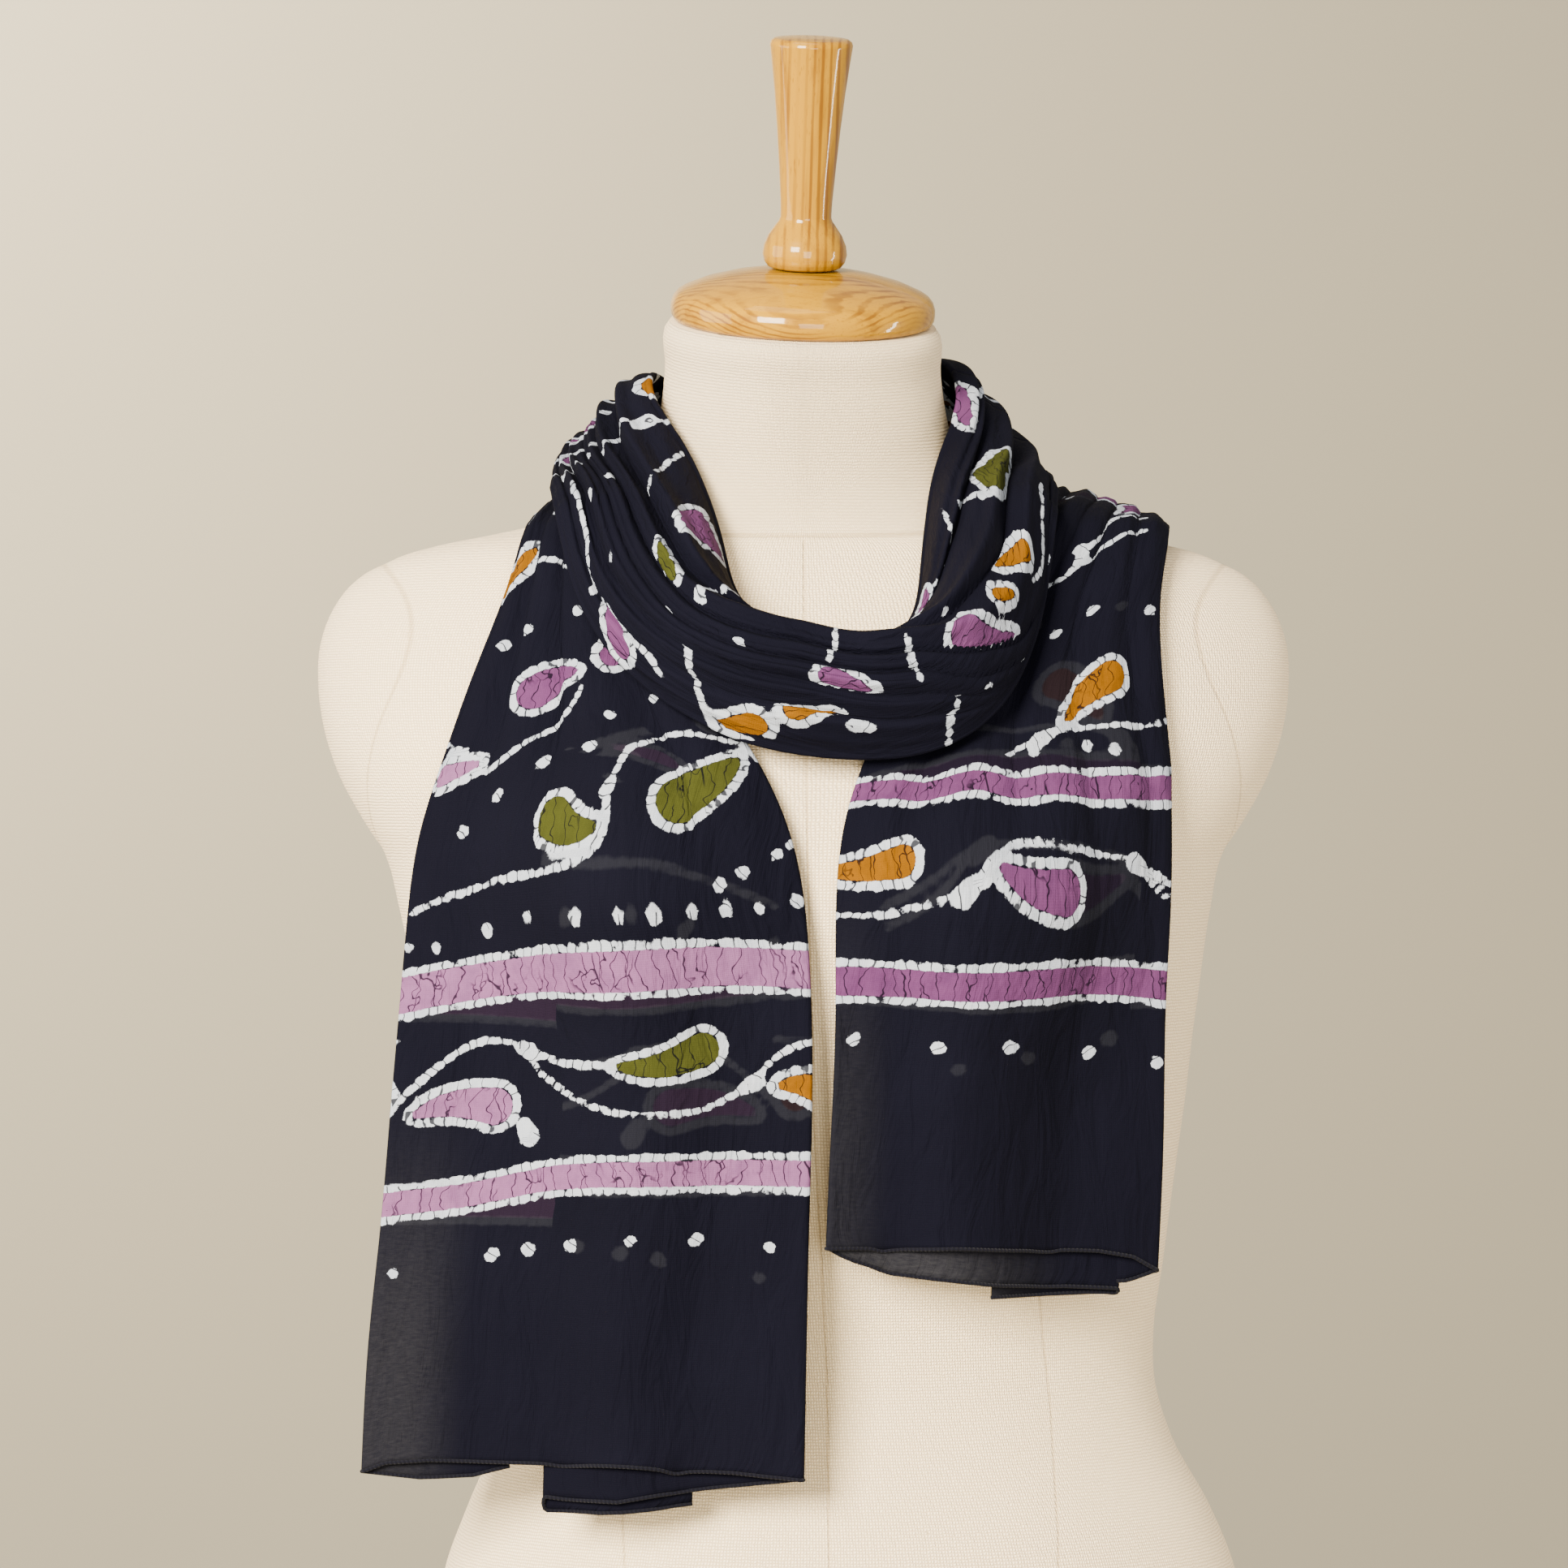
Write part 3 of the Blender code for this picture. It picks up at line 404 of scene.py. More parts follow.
RIGHT_CHART = {
    "reach": (0, 330),
    "bands": (
        ("mauve", 6.9, ((0, 109), (55, 116.5), (87, 116.5), (115, 115.5), (150, 114))),
        ("mauve", 5.4, ((0, 188), (40, 185.5), (62, 184), (80, 182), (96, 184.5), (115, 184), (150, 192))),
    ),
    "drops": (
        (168, 160, 127.5, 158, 5.9, 2, "ochre"), (88, 154, 57, 147, 7.4, 2, "mauve"),
        (57, 213, 34.5, 231, 7.6, -2, "ochre"),
    ),
    "vines": (
        (3, ((156, 140), (137, 140), (121, 143), (106, 145), (99, 147))),
        (3.4, ((99, 147), (92, 150), (87, 153))),
        (3, ((96, 150), (90, 156), (79, 161), (63, 162), (42, 161), (24, 160), (18, 158))),
        (3, ((16, 158), (8, 155), (1, 151), (-20, 143))),
        (3, ((14, 156), (8, 150), (1, 145), (-20, 136))),
        (4, ((66, 205), (61, 208), (57, 213))),
        (3, ((66, 205), (54, 210), (37, 210), (23, 210), (0, 212))),
        (2.8, ((85, 197), (76, 201), (66, 205))),
        (3.2, ((118, 282), (95, 285), (72, 288), (66, 301), (50, 317), (40, 322), (20, 325))),
        (3, ((68, 293), (48, 304), (38, 309), (20, 312))),
    ),
    "blobs": (
        (100, 147, 6.2, 3.8, -35), (18, 158, 6.5, 4, 25), (66, 205, 5.6, 3.8, -30),
        (67, 300, 5.4, 3.4, 60),
    ),
    "dots": (
        (139, 91), (104, 88), (73, 88), (32, 83), (2, 78), (44, 202), (32, 200), (70, 199), (46, 267),
        (67, 257), (112, 250), (96, 226), (124, 268), (10, 262),
    ),
    "dot": 3.1,
}
LOOP_CHART = {
    "reach": (715, 1080),
    "bands": (),
    "drops": (
        (152, 1004, 138, 1023, 9.2, 0, "mauve"), (17, 1015, 6, 998, 5.4, 0, "mauve"),
        (50, 902, 58, 918, 5.4, 0, "mauve"), (28, 916, 20, 930, 5, 0, "ochre"),
        (2, 956, 9, 944, 5.4, 0, "ochre"), (88, 752, 95, 778, 9.2, 2, "olive"),
        (76, 818, 60, 801, 4.6, 0, "ochre"), (64, 826, 73, 834, 3.8, 0, "ochre"),
        (122, 746, 133, 727, 6, 0, "mauve"), (54, 836, 84, 862, 6.4, 3, "mauve"),
        (98, 1018, 93, 1002, 4.8, 0, "olive"), (152, 848, 147, 868, 6.4, 0, "mauve"),
    ),
    "vines": (
        (3, ((104, 1042), (115, 1051), (126, 1062), (137, 1069))),
        (3, ((20, 1068), (24, 1046), (21, 1035), (12, 1024))),
        (2.8, ((8, 1008), (11, 999), (14, 988), (10, 978))),
        (3, ((44, 980), (35, 973), (24, 968), (15, 965), (2, 957))),
        (3.4, ((142, 978), (128, 981), (112, 984), (96, 983))),
        (3, ((114, 915), (105, 916), (90, 917), (76, 919))),
        (3, ((102, 884), (95, 885), (74, 886), (53, 885))),
        (3.4, ((130, 799), (112, 794), (100, 791), (89, 788))),
        (3, ((28, 873), (16, 877), (6, 879), (-12, 882))),
        (2.6, ((49, 768), (47, 781), (45, 789), (45, 797), (52, 808))),
        (2.8, ((150, 850), (136, 838), (132, 820), (140, 806))),
    ),
    "blobs": ((14.5, 908, 5.2, 2.8, 80), (96, 982, 4.6, 2.8, 60), (12, 1024, 4.6, 2.6, 20)),
    "dots": (
        (46, 1028), (72, 957), (115, 861), (40, 1056), (64, 1064), (60, 990), (30, 860), (22, 836),
        (14, 790),
    ),
    "dot": 2.5,
}
# One repeat of the field: a piece of cloth with motifs that is repeated, turned over and shifted.
FIELD_ACROSS = 186
FIELD_UP = 170
FIELD_SHIFT = 47
FIELD_REACHES = ((400, 715), (1080, 1480))
FIELD = {
    "drops": (
        (70, 41, 49, 40, 7.6, 5, "olive"), (116, 68, 98, 51, 10.2, 2, "olive"),
        (42, 108, 25, 92, 6.6, -4, "mauve"), (-16, 62, -3, 53, 6.6, 3, "mauve"),
        (14, 161, 0, 146, 7.4, 2, "ochre"), (52, 132, 58, 110, 5.6, -3, "mauve"),
        (150, 78, 134, 96, 7.2, -3, "ochre"), (112, 128, 96, 141, 7.4, 4, "mauve"),
        (166, 128, 150, 143, 7, 3, "olive"),
    ),
    "vines": (
        (3.6, ((6, 2), (19, 9), (31, 13), (45, 16), (61, 19), (70, 25), (75, 33), (76, 44))),
        (3.2, ((78, 61), (80, 66), (92, 73), (106, 76), (116, 75))),
        (3.2, ((16, 60), (27, 67), (34, 78), (44, 88))),
        (2.8, ((2, 76), (9, 73), (13, 64))),
        (2.8, ((4, 160), (18, 160), (30, 157), (44, 158))),
        (2.8, ((8, 150), (16, 156), (22, 166))),
        (3.2, ((126, 70), (146, 66), (160, 54), (170, 40), (184, 34))),
        (3.2, ((66, 146), (78, 136), (86, 120), (98, 114), (114, 116), (126, 124))),
        (3, ((130, 126), (142, 120), (158, 122), (168, 116), (176, 104))),
    ),
    "blobs": (
        (76, 52, 7, 3.2, 85), (122, 71, 6.5, 4.4, 0), (13, 61, 4.2, 4, 0), (20, 158, 5, 2.6, 50),
        (128, 125, 6, 3.4, 20), (14, 124, 5.5, 1.9, 25), (25, 50, 4.5, 1.6, 45), (57, 71, 4, 1.2, 80),
        (106, 100, 4.2, 2.2, 30),
    ),
    "dots": (
        (66, 1), (83, 1), (98, 2), (113, 3), (129, 3), (142, 3), (159, 2), (176, 1), (125, 14), (134, 19),
        (147, 27), (152, 31), (32, 132), (7, 116), (2, 108), (62, 82), (41, 65), (15, 36), (4, 29),
        (76, 96), (88, 100), (100, 30), (116, 40), (168, 72), (178, 84), (120, 150), (74, 160),
        (136, 160),
    ),
    "dot": 2.3,
}

# ---------------------------------------------------------------- finishes: how the dye and wax lie
EDGE_WOBBLE = 1.7
EDGE_FRAY = 0.6
EDGE_SOFT = 0.2
CRACKS_PER_MM = 0.2
CRACK_WIDE = 0.04
NET_ACROSS = 13.0
NET_ALONG = 42.0
HAIRS_PER_MM = 0.15
GHOST_WAX_SHOWS = 0.012
GHOST_DYE_SHOWS = 0.035
DEEP_DYE = (0.62, 0.62, 0.66)
THREAD_DRIFT = 0.9

# ---------------------------------------------------------------- studio, in metres
CAMERA_AWAY = 2.4
HALF_FRAME = 0.33327
LAMP_COLOUR = (1.0, 0.91, 0.76)
ROOM_COLOUR = (1.0, 0.975, 0.93, 1.0)
LAMP_COLUMNS = ("name", "place", "target", "wide", "tall", "power", "share")
LAMPS = (
    ("key_light", (-1.2, -2.45, 1.3), (0.0, 0.0, 0.45), 1.1, 1.1, "key", 1.0),
    ("second_light", (0.35, -2.7, 0.35), (0.0, 0.0, 0.35), 1.0, 1.0, "fill", 1.0),
    ("top_light", (-0.2, -0.3, 2.2), (0.0, 0.0, 0.5), 1.0, 1.0, "fill", 0.2),
    ("strip_light", (1.6, -0.1, 0.35), (0.0, -0.1, 0.72), 0.12, 0.9, "fill", 0.35),
    ("side_light", (-2.5, -0.4, 0.9), (0.0, 0.0, 0.45), 1.6, 1.6, "fill", 1.2),
    ("wall_light", (-2.4, 4.2, 2.6), (-1.2, 6.4, 0.9), 1.2, 1.2, "wall", 1.0),
)
# The floor and the wall, in millimetres.
FLOOR_RADIUS = 880.0
WALL_BACK = 6500.0
WALL_REACH = 3500.0
WALL_HEIGHTS = (-2500.0, 4500.0)


# ---------------------------------------------------------------- numbers
def smooth_columns(rows, knots, places):
    """A smooth line through every row, read at each place along it."""
    rows = np.asarray(rows, float)
    knots = np.asarray(knots, float)
    places = np.asarray(places, float)
    slopes = np.gradient(rows, knots, axis=0)
    after = np.clip(np.searchsorted(knots, places, side="right"), 1, len(knots) - 1)
    before = after - 1
    shape = (len(places),) + (1,) * (rows.ndim - 1)
    span = (knots[after] - knots[before]).reshape(shape)
    share = (places - knots[before]).reshape(shape) / span
    square, cube = share ** 2, share ** 3
    return (
        (2 * cube - 3 * square + 1) * rows[before] + (cube - 2 * square + share) * span * slopes[before]
        + (3 * square - 2 * cube) * rows[after] + (cube - square) * span * slopes[after]
    )


def smooth_step(low, high, values):
    share = np.clip((values - low) / (high - low), 0.0, 1.0)
    return share * share * (3.0 - 2.0 * share)


def run_of(steps):
    """How far along each point of a line lies, from the steps between them."""
    return np.concatenate(([0.0], np.cumsum(steps)))


def unit(vectors):
    return vectors / np.maximum(np.linalg.norm(vectors, axis=-1, keepdims=True), 1e-9)


def linear(red, green, blue):
    """A colour from 0 to 255 as the shader wants it."""
    parts = [value / 255.0 for value in (red, green, blue)]
    return tuple(part / 12.92 if part <= 0.04045 else ((part + 0.055) / 1.055) ** 2.4 for part in parts)


# ---------------------------------------------------------------- the form's shape
RING_TABLE = {name: np.array(column) for name, column in zip(FORM_COLUMNS, zip(*FORM_RINGS))}


def ring_value(name, height):
    return np.interp(height, RING_TABLE["height"], RING_TABLE[name])


def bust(across, height):
    """How far the bust stands forward of the plain ring."""
    up = np.exp(-((height - BUST_HEIGHT) / BUST_SPREAD_UP) ** 2)
    side = np.exp(-((np.abs(across) - BUST_APART) / BUST_SPREAD_ACROSS) ** 2)
    return BUST_STANDS_OUT * up * side


def form_ratio(points):
    """How far out each point is, as a share of the form's own ring at its level."""
    x, y, z = points[..., 0], points[..., 1], points[..., 2]
    height = z
    for _ in range(TILT_PASSES):
        middle = (ring_value("back", height) - ring_value("front", height)) / 2.0
        height = z - (y - middle) * np.tan(np.radians(ring_value("tip", height)))
    middle = (ring_value("back", height) - ring_value("front", height)) / 2.0
    half_deep = (ring_value("back", height) + ring_value("front", height)) / 2.0
    across = np.abs(x - ring_value("lean", height))
    deep = y - middle
    deep = np.where(deep < 0.0, np.minimum(deep + bust(across, height), -0.001), deep)
    square = ring_value("square", height)
    sum_of = (across / ring_value("half_width", height)) ** square
    sum_of = sum_of + (np.abs(deep) / half_deep) ** square
    return sum_of ** (1.0 / square)


def form_distance(points):
    """How far each point is from the form, and the way out of it."""
    here = form_ratio(points)
    slope = np.zeros(points.shape)
    for axis in range(3):
        nudge = np.zeros(3)
        nudge[axis] = PROBE
        slope[..., axis] = (form_ratio(points + nudge) - form_ratio(points - nudge)) / (2 * PROBE)
    steep = np.maximum(np.linalg.norm(slope, axis=-1), 1e-4)
    return (here - 1.0) / steep, slope / steep[..., None]


def keep_off_form(points, gap):
    """Points nearer to the form than the gap are moved straight out to it."""
    for _ in range(PUSH_PASSES):
        distance, out = form_distance(points)
        short = np.clip(gap - distance, 0.0, MOST_PUSHED)
        points = points + out * short[..., None]
    return points


def form_surface():
    """Rows of points round the form from its underside to the top of the neck."""
    table = np.array(FORM_RINGS)
    knots = run_of(np.hypot(np.diff(table[:, 0]), np.diff(table[:, 1])))
    rings = smooth_columns(table, knots, np.linspace(0.0, knots[-1], FORM_ROWS + 1))
    turns = 2.0 * np.pi * np.arange(FORM_SIDES + 1) / FORM_SIDES + np.pi / 2.0
    cosine, sine = np.cos(turns)[None, :], np.sin(turns)[None, :]
    height, half_width, front, back, lean, square, tip = [column[:, None] for column in rings.T]
    power = 2.0 / square
    across = half_width * np.sign(cosine) * np.abs(cosine) ** power
    deep = (back + front) / 2.0 * np.sign(sine) * np.abs(sine) ** power
    deep = deep - np.where(deep < 0.0, bust(across, height) * np.minimum(1.0, -deep / BUST_FADES), 0.0)
    tilt, roll = np.radians(tip), np.radians(NECK_LEAN * tip / NECK_TIP)
    return np.stack((
        across * np.cos(roll) + lean,
        (back - front) / 2.0 + deep * np.cos(tilt),
        height + deep * np.sin(tilt) - across * np.sin(roll),
    ), axis=-1)


# ---------------------------------------------------------------- the stole's shape
def stole_path():
    """All the rows, and how far along the stole each lies."""
    rows = np.array([row for _, table in STRETCHES for row in table], float)
    middles = (rows[:, NECK_EDGE] + rows[:, OUTER_EDGE]) / 2.0
    return rows, run_of(np.linalg.norm(np.diff(middles, axis=0), axis=1))


def stretch_ends(knots):
    """Where along the stole each stretch begins and ends: at the first row of the next."""
    ends = {}
    first = 0
    for name, table in STRETCHES:
        last = min(first + len(table), len(knots) - 1)
        ends[name] = (knots[first], knots[last])
        first += len(table)
    return ends


def evened(grid):
    """Each point of a grid drawn half way to the middle of its neighbours, the two ends kept."""
    even = grid.copy()
    even[:, 1:-1] = 0.5 * grid[:, 1:-1] + 0.25 * (grid[:, :-2] + grid[:, 2:])
    even[1:-1] = 0.5 * even[1:-1] + 0.25 * (even[:-2] + even[2:])
    even[0], even[-1] = grid[0], grid[-1]
    return even


def edge_gap(columns, across):
    """How far each point of the bed is kept from the form."""
    at_neck, at_outer = columns[:, OFF_NECK, None], columns[:, OFF_OUTER, None]
    return at_neck + (at_outer - at_neck) * across[None, :]


def bed(columns, across):
    """The surface that the folded band lies on: rows by shares across, kept off the form."""
    neck, outer = columns[:, None, NECK_EDGE], columns[:, None, OUTER_EDGE]
    gap = edge_gap(columns, across)
    points = neck + (outer - neck) * across[None, :, None]
    for _ in range(BED_PASSES):
        points = evened(keep_off_form(points, gap))
    return keep_off_form(points, gap)


def hang(points, order):
    """Below the bust the cloth hangs nearly straight down and leaves the waist clear."""
    for above, below in zip(order[:-1], order[1:]):
        drop = np.maximum(points[above, :, 2] - points[below, :, 2], 0.0)
        points[below, :, 1] = np.minimum(points[below, :, 1], points[above, :, 1] + HANG_BACK * drop)
    return points


def whole_bed():
    """The bed of the whole stole in close rows: its places, columns, points and directions."""
    rows, knots = stole_path()
    places = np.linspace(0.0, knots[-1], int(knots[-1] / BED_STEP))
    columns = smooth_columns(rows, knots, places)
    across = np.linspace(0.0, 1.0, BED_ACROSS)
    lying = bed(columns, across)
    ends = stretch_ends(knots)
    right = np.nonzero(places <= ends["tail_right"][1])[0]
    left = np.nonzero(places >= ends["tail_left"][0])[0]
    lying = hang(lying, list(right[::-1]))
    lying = hang(lying, list(left))
    for _ in range(SETTLE_PASSES):
        lying = evened(lying)
    lying = keep_off_form(lying, edge_gap(columns, across))
    over = unit(np.gradient(lying, axis=1))
    along = unit(np.gradient(lying, axis=0))
    out = unit(np.cross(over, along))
    for _ in range(BED_PASSES):
        out = unit(evened(out))
    return {
        "places": places, "columns": columns, "across": across, "lying": lying, "over": over,
        "out": out, "ends": ends, "knots": knots,
    }


def section(name):
    """Across the folded band: share of the width, layer and reach past it, for each point."""
    ends = dict(zip(LAYER_COLUMNS, LAYERS[name]))
    inner_fold = ends["inner_fold"]
    half = PITCH / 2.0
    points = layer_points(ends["inner_end"], inner_fold, 0.0)
    points += arc(inner_fold / PARTS, 0.0, 1.0, half)
    points += layer_points(inner_fold, 0, 1.0)
    points += arc(0.0, 1.0, 2.0, -half)
    points += [(share, 2.0, 0.0) for share in np.linspace(0.0, 1.0, SHOW_POINTS)]
    points += arc(1.0, 2.0, 1.0, half)
    points += layer_points(PARTS, ends["outer_end"], 1.0)
    return np.array(points)


def layer_points(first, last, layer):
    count = int(math.ceil(abs(last - first))) * HIDDEN_FINER + 1
    return [(share, layer, 0.0) for share in np.linspace(first, last, count) / PARTS]


def arc(share, from_layer, to_layer, radius):
    """The round turn where one layer folds over into the next."""
    points = []
    for number in range(1, TURN_POINTS + 1):
        turn = math.pi * number / (TURN_POINTS + 1)
        layer = from_layer + (to_layer - from_layer) * (0.5 - 0.5 * math.cos(turn))
        points.append((share, layer, radius * math.sin(turn)))
    return points


def crease_lines(stations):
    """The share across at which each crease lies, for every row: rows by creases."""
    lines = []
    for _, marks in CREASES:
        lines.append(np.interp(stations, *zip(*marks)))
    lines = np.array(lines).T
    for _ in range(CREASE_PASSES):
        lines[1:-1] = 0.5 * lines[1:-1] + 0.25 * (lines[:-2] + lines[2:])
    return np.maximum.accumulate(lines, axis=1)


def pleat_heights(stations, lines, share, width):
    """How far the show side stands out between its creases, for every row and share."""
    table = dict(zip(PLEAT_COLUMNS, zip(*PLEATS)))
    most, deep, sharp = (np.interp(stations, table["place"], table[key])[:, None]
                         for key in PLEAT_COLUMNS[1:])
    power = DOME_ROUND - DOME_SHARPENS * sharp
    edges = np.concatenate((np.zeros((len(stations), 1)), lines, np.ones((len(stations), 1))), axis=1)
    high = np.zeros((len(stations), len(share)))
    for number in range(edges.shape[1] - 1):
        low, top = edges[:, number:number + 1], edges[:, number + 1:number + 2]
        wide = np.maximum(top - low, 1e-6)
        inside = (share[None, :] >= low) & (share[None, :] <= top)
        turn = np.clip((share[None, :] - low) / wide, 0.0, 1.0)
        lean = turn ** (1.0 + PLEAT_LEANS * sharp)
        tall = np.minimum(most, deep * wide * width[:, None])
        dome = np.sin(np.pi * lean) ** power
        ripple = PLEAT_RIPPLE * sharp * np.sin(3.0 * np.pi * lean + 2.0 * number)
        high = np.where(inside, tall * dome * (1.0 + ripple), high)
    return high


def rumple(across, up):
    """Small soft unevenness of hanging cloth, in millimetres."""
    return sum(size * np.sin(a * across + b * up + turn) for a, b, turn, size in RUMPLES)


def hem_drop(name, layer, share):
    """How far one layer of a tail hangs at each place across its hem."""
    for row in HEMS:
        hem = dict(zip(HEM_COLUMNS, row))
        if hem["stretch"] == name and hem["layer"] == layer:
            return np.interp(share, hem["shares"], hem["drops"])
    return np.zeros(len(share))


def hem_drops(name, share, layer):
    """How far each point of the folded section hangs at the hem, blended from layer to layer."""
    before = np.arange(len(layer)) < int(np.argmax(layer > SHOW_LAYER))
    under = np.where(before, hem_drop(name, "wrap", share), hem_drop(name, "outer", share))
    inner, show = hem_drop(name, "inner", share), hem_drop(name, "show", share)
    upper = np.clip(layer - 1.0, 0.0, 1.0)
    lower = np.clip(1.0 - layer, 0.0, 1.0)
    return under * (1.0 - upper - lower) + inner * lower + show * upper


def cloth_stretch(name, bed_of):
    """Points of one stretch, rows by section, with how far across and along the flat cloth each is."""
    begin, end = bed_of["ends"][name]
    whole = bed_of["knots"][-1]
    if name != STRETCHES[0][0]:
        begin += GAP / 2.0
    if name != STRETCHES[-1][0]:
        end -= GAP / 2.0
    places = np.linspace(begin, end, int(round((end - begin) / ROW_STEP)) + 1)
    stations = np.interp(places, bed_of["knots"], np.arange(len(bed_of["knots"])))
    share, layer, reach = section(name).T

    def read(key):
        grid = smooth_columns(bed_of[key], bed_of["places"], places)
        return smooth_columns(grid.transpose(1, 0, 2), bed_of["across"], share).transpose(1, 0, 2)

    lying, over, out = read("lying"), unit(read("over")), unit(read("out"))
    columns = smooth_columns(bed_of["columns"], bed_of["places"], places)
    width = np.linalg.norm(columns[:, OUTER_EDGE] - columns[:, NECK_EDGE], axis=1)
    lines = crease_lines(stations)
    show = (layer > SHOW_LAYER) & (np.abs(reach) < 1e-9)
    bulge = columns[:, LOFT, None] * np.sin(np.pi * share)[None, :] ** BULGE_POWER
    high = (bulge + pleat_heights(stations, lines, share, width)) * show[None, :]
    stands = layer[None, :] * PITCH + high
    points = lying + out * stands[..., None] + over * reach[None, :, None]
    from_end = np.minimum(places, whole - places)
    fade = np.maximum(0.0, 1.0 - from_end / HEM_DROP_FADES)[:, None] ** 2
    points[..., 2] -= hem_drops(name, share, layer)[None, :] * fade
    from_edge = np.minimum(share, 1.0 - share)
    flat_across = across_the_cloth(points, show, lines, share, stations)
    soft = rumple(flat_across, np.broadcast_to(places[:, None], flat_across.shape))
    loose = smooth_step(0.0, FIRM_EDGE, from_edge)[None, :] * show[None, :]
    points = points + out * (soft * loose)[..., None]
    return {
        "points": points, "across": flat_across, "places": places, "share": share, "layer": layer,
        "show": show, "whole": whole,
    }


def across_the_cloth(points, show, lines, share, stations):
    """Distance inwards from the outer fold along the cloth, with what the creases hide."""
    gathered = smooth_step(*GATHERS, stations) * (1.0 - smooth_step(*OPENS, stations))
    steps = np.linalg.norm(np.diff(points, axis=1), axis=2)
    run = np.concatenate((np.zeros((len(points), 1)), np.cumsum(steps, axis=1)), axis=1)
    last_show = np.nonzero(show)[0][-1]
    inwards = run[:, last_show:last_show + 1] - run
    first_show = np.nonzero(show)[0][0]
    order = np.arange(len(share))
    spot = np.where(order < first_show, 0.0, np.where(order > last_show, 1.0, share))
    for number, (hidden, _) in enumerate(CREASES):
        line = lines[:, number:number + 1]
        past = smooth_step(-CREASE_HALF_WIDE, CREASE_HALF_WIDE, line - spot[None, :])
        inwards = inwards + hidden * gathered[:, None] * past
    return inwards


# ---------------------------------------------------------------- the print's shapes
def to_line(points, ends):
    """For each point and each step of a broken line: the distance, and how far along; and its length."""
    ends = np.asarray(ends, float)
    starts, steps = ends[:-1], np.diff(ends, axis=0)
    lengths = np.linalg.norm(steps, axis=1)
    before = np.concatenate(([0.0], np.cumsum(lengths)[:-1]))
    gap = points[:, None, :] - starts[None, :, :]
    share = np.clip((gap * steps).sum(-1) / np.maximum(lengths, 1e-6) ** 2, 0.0, 1.0)
    away = np.linalg.norm(gap - share[..., None] * steps, axis=-1)
    return away, before + share * lengths, lengths.sum()


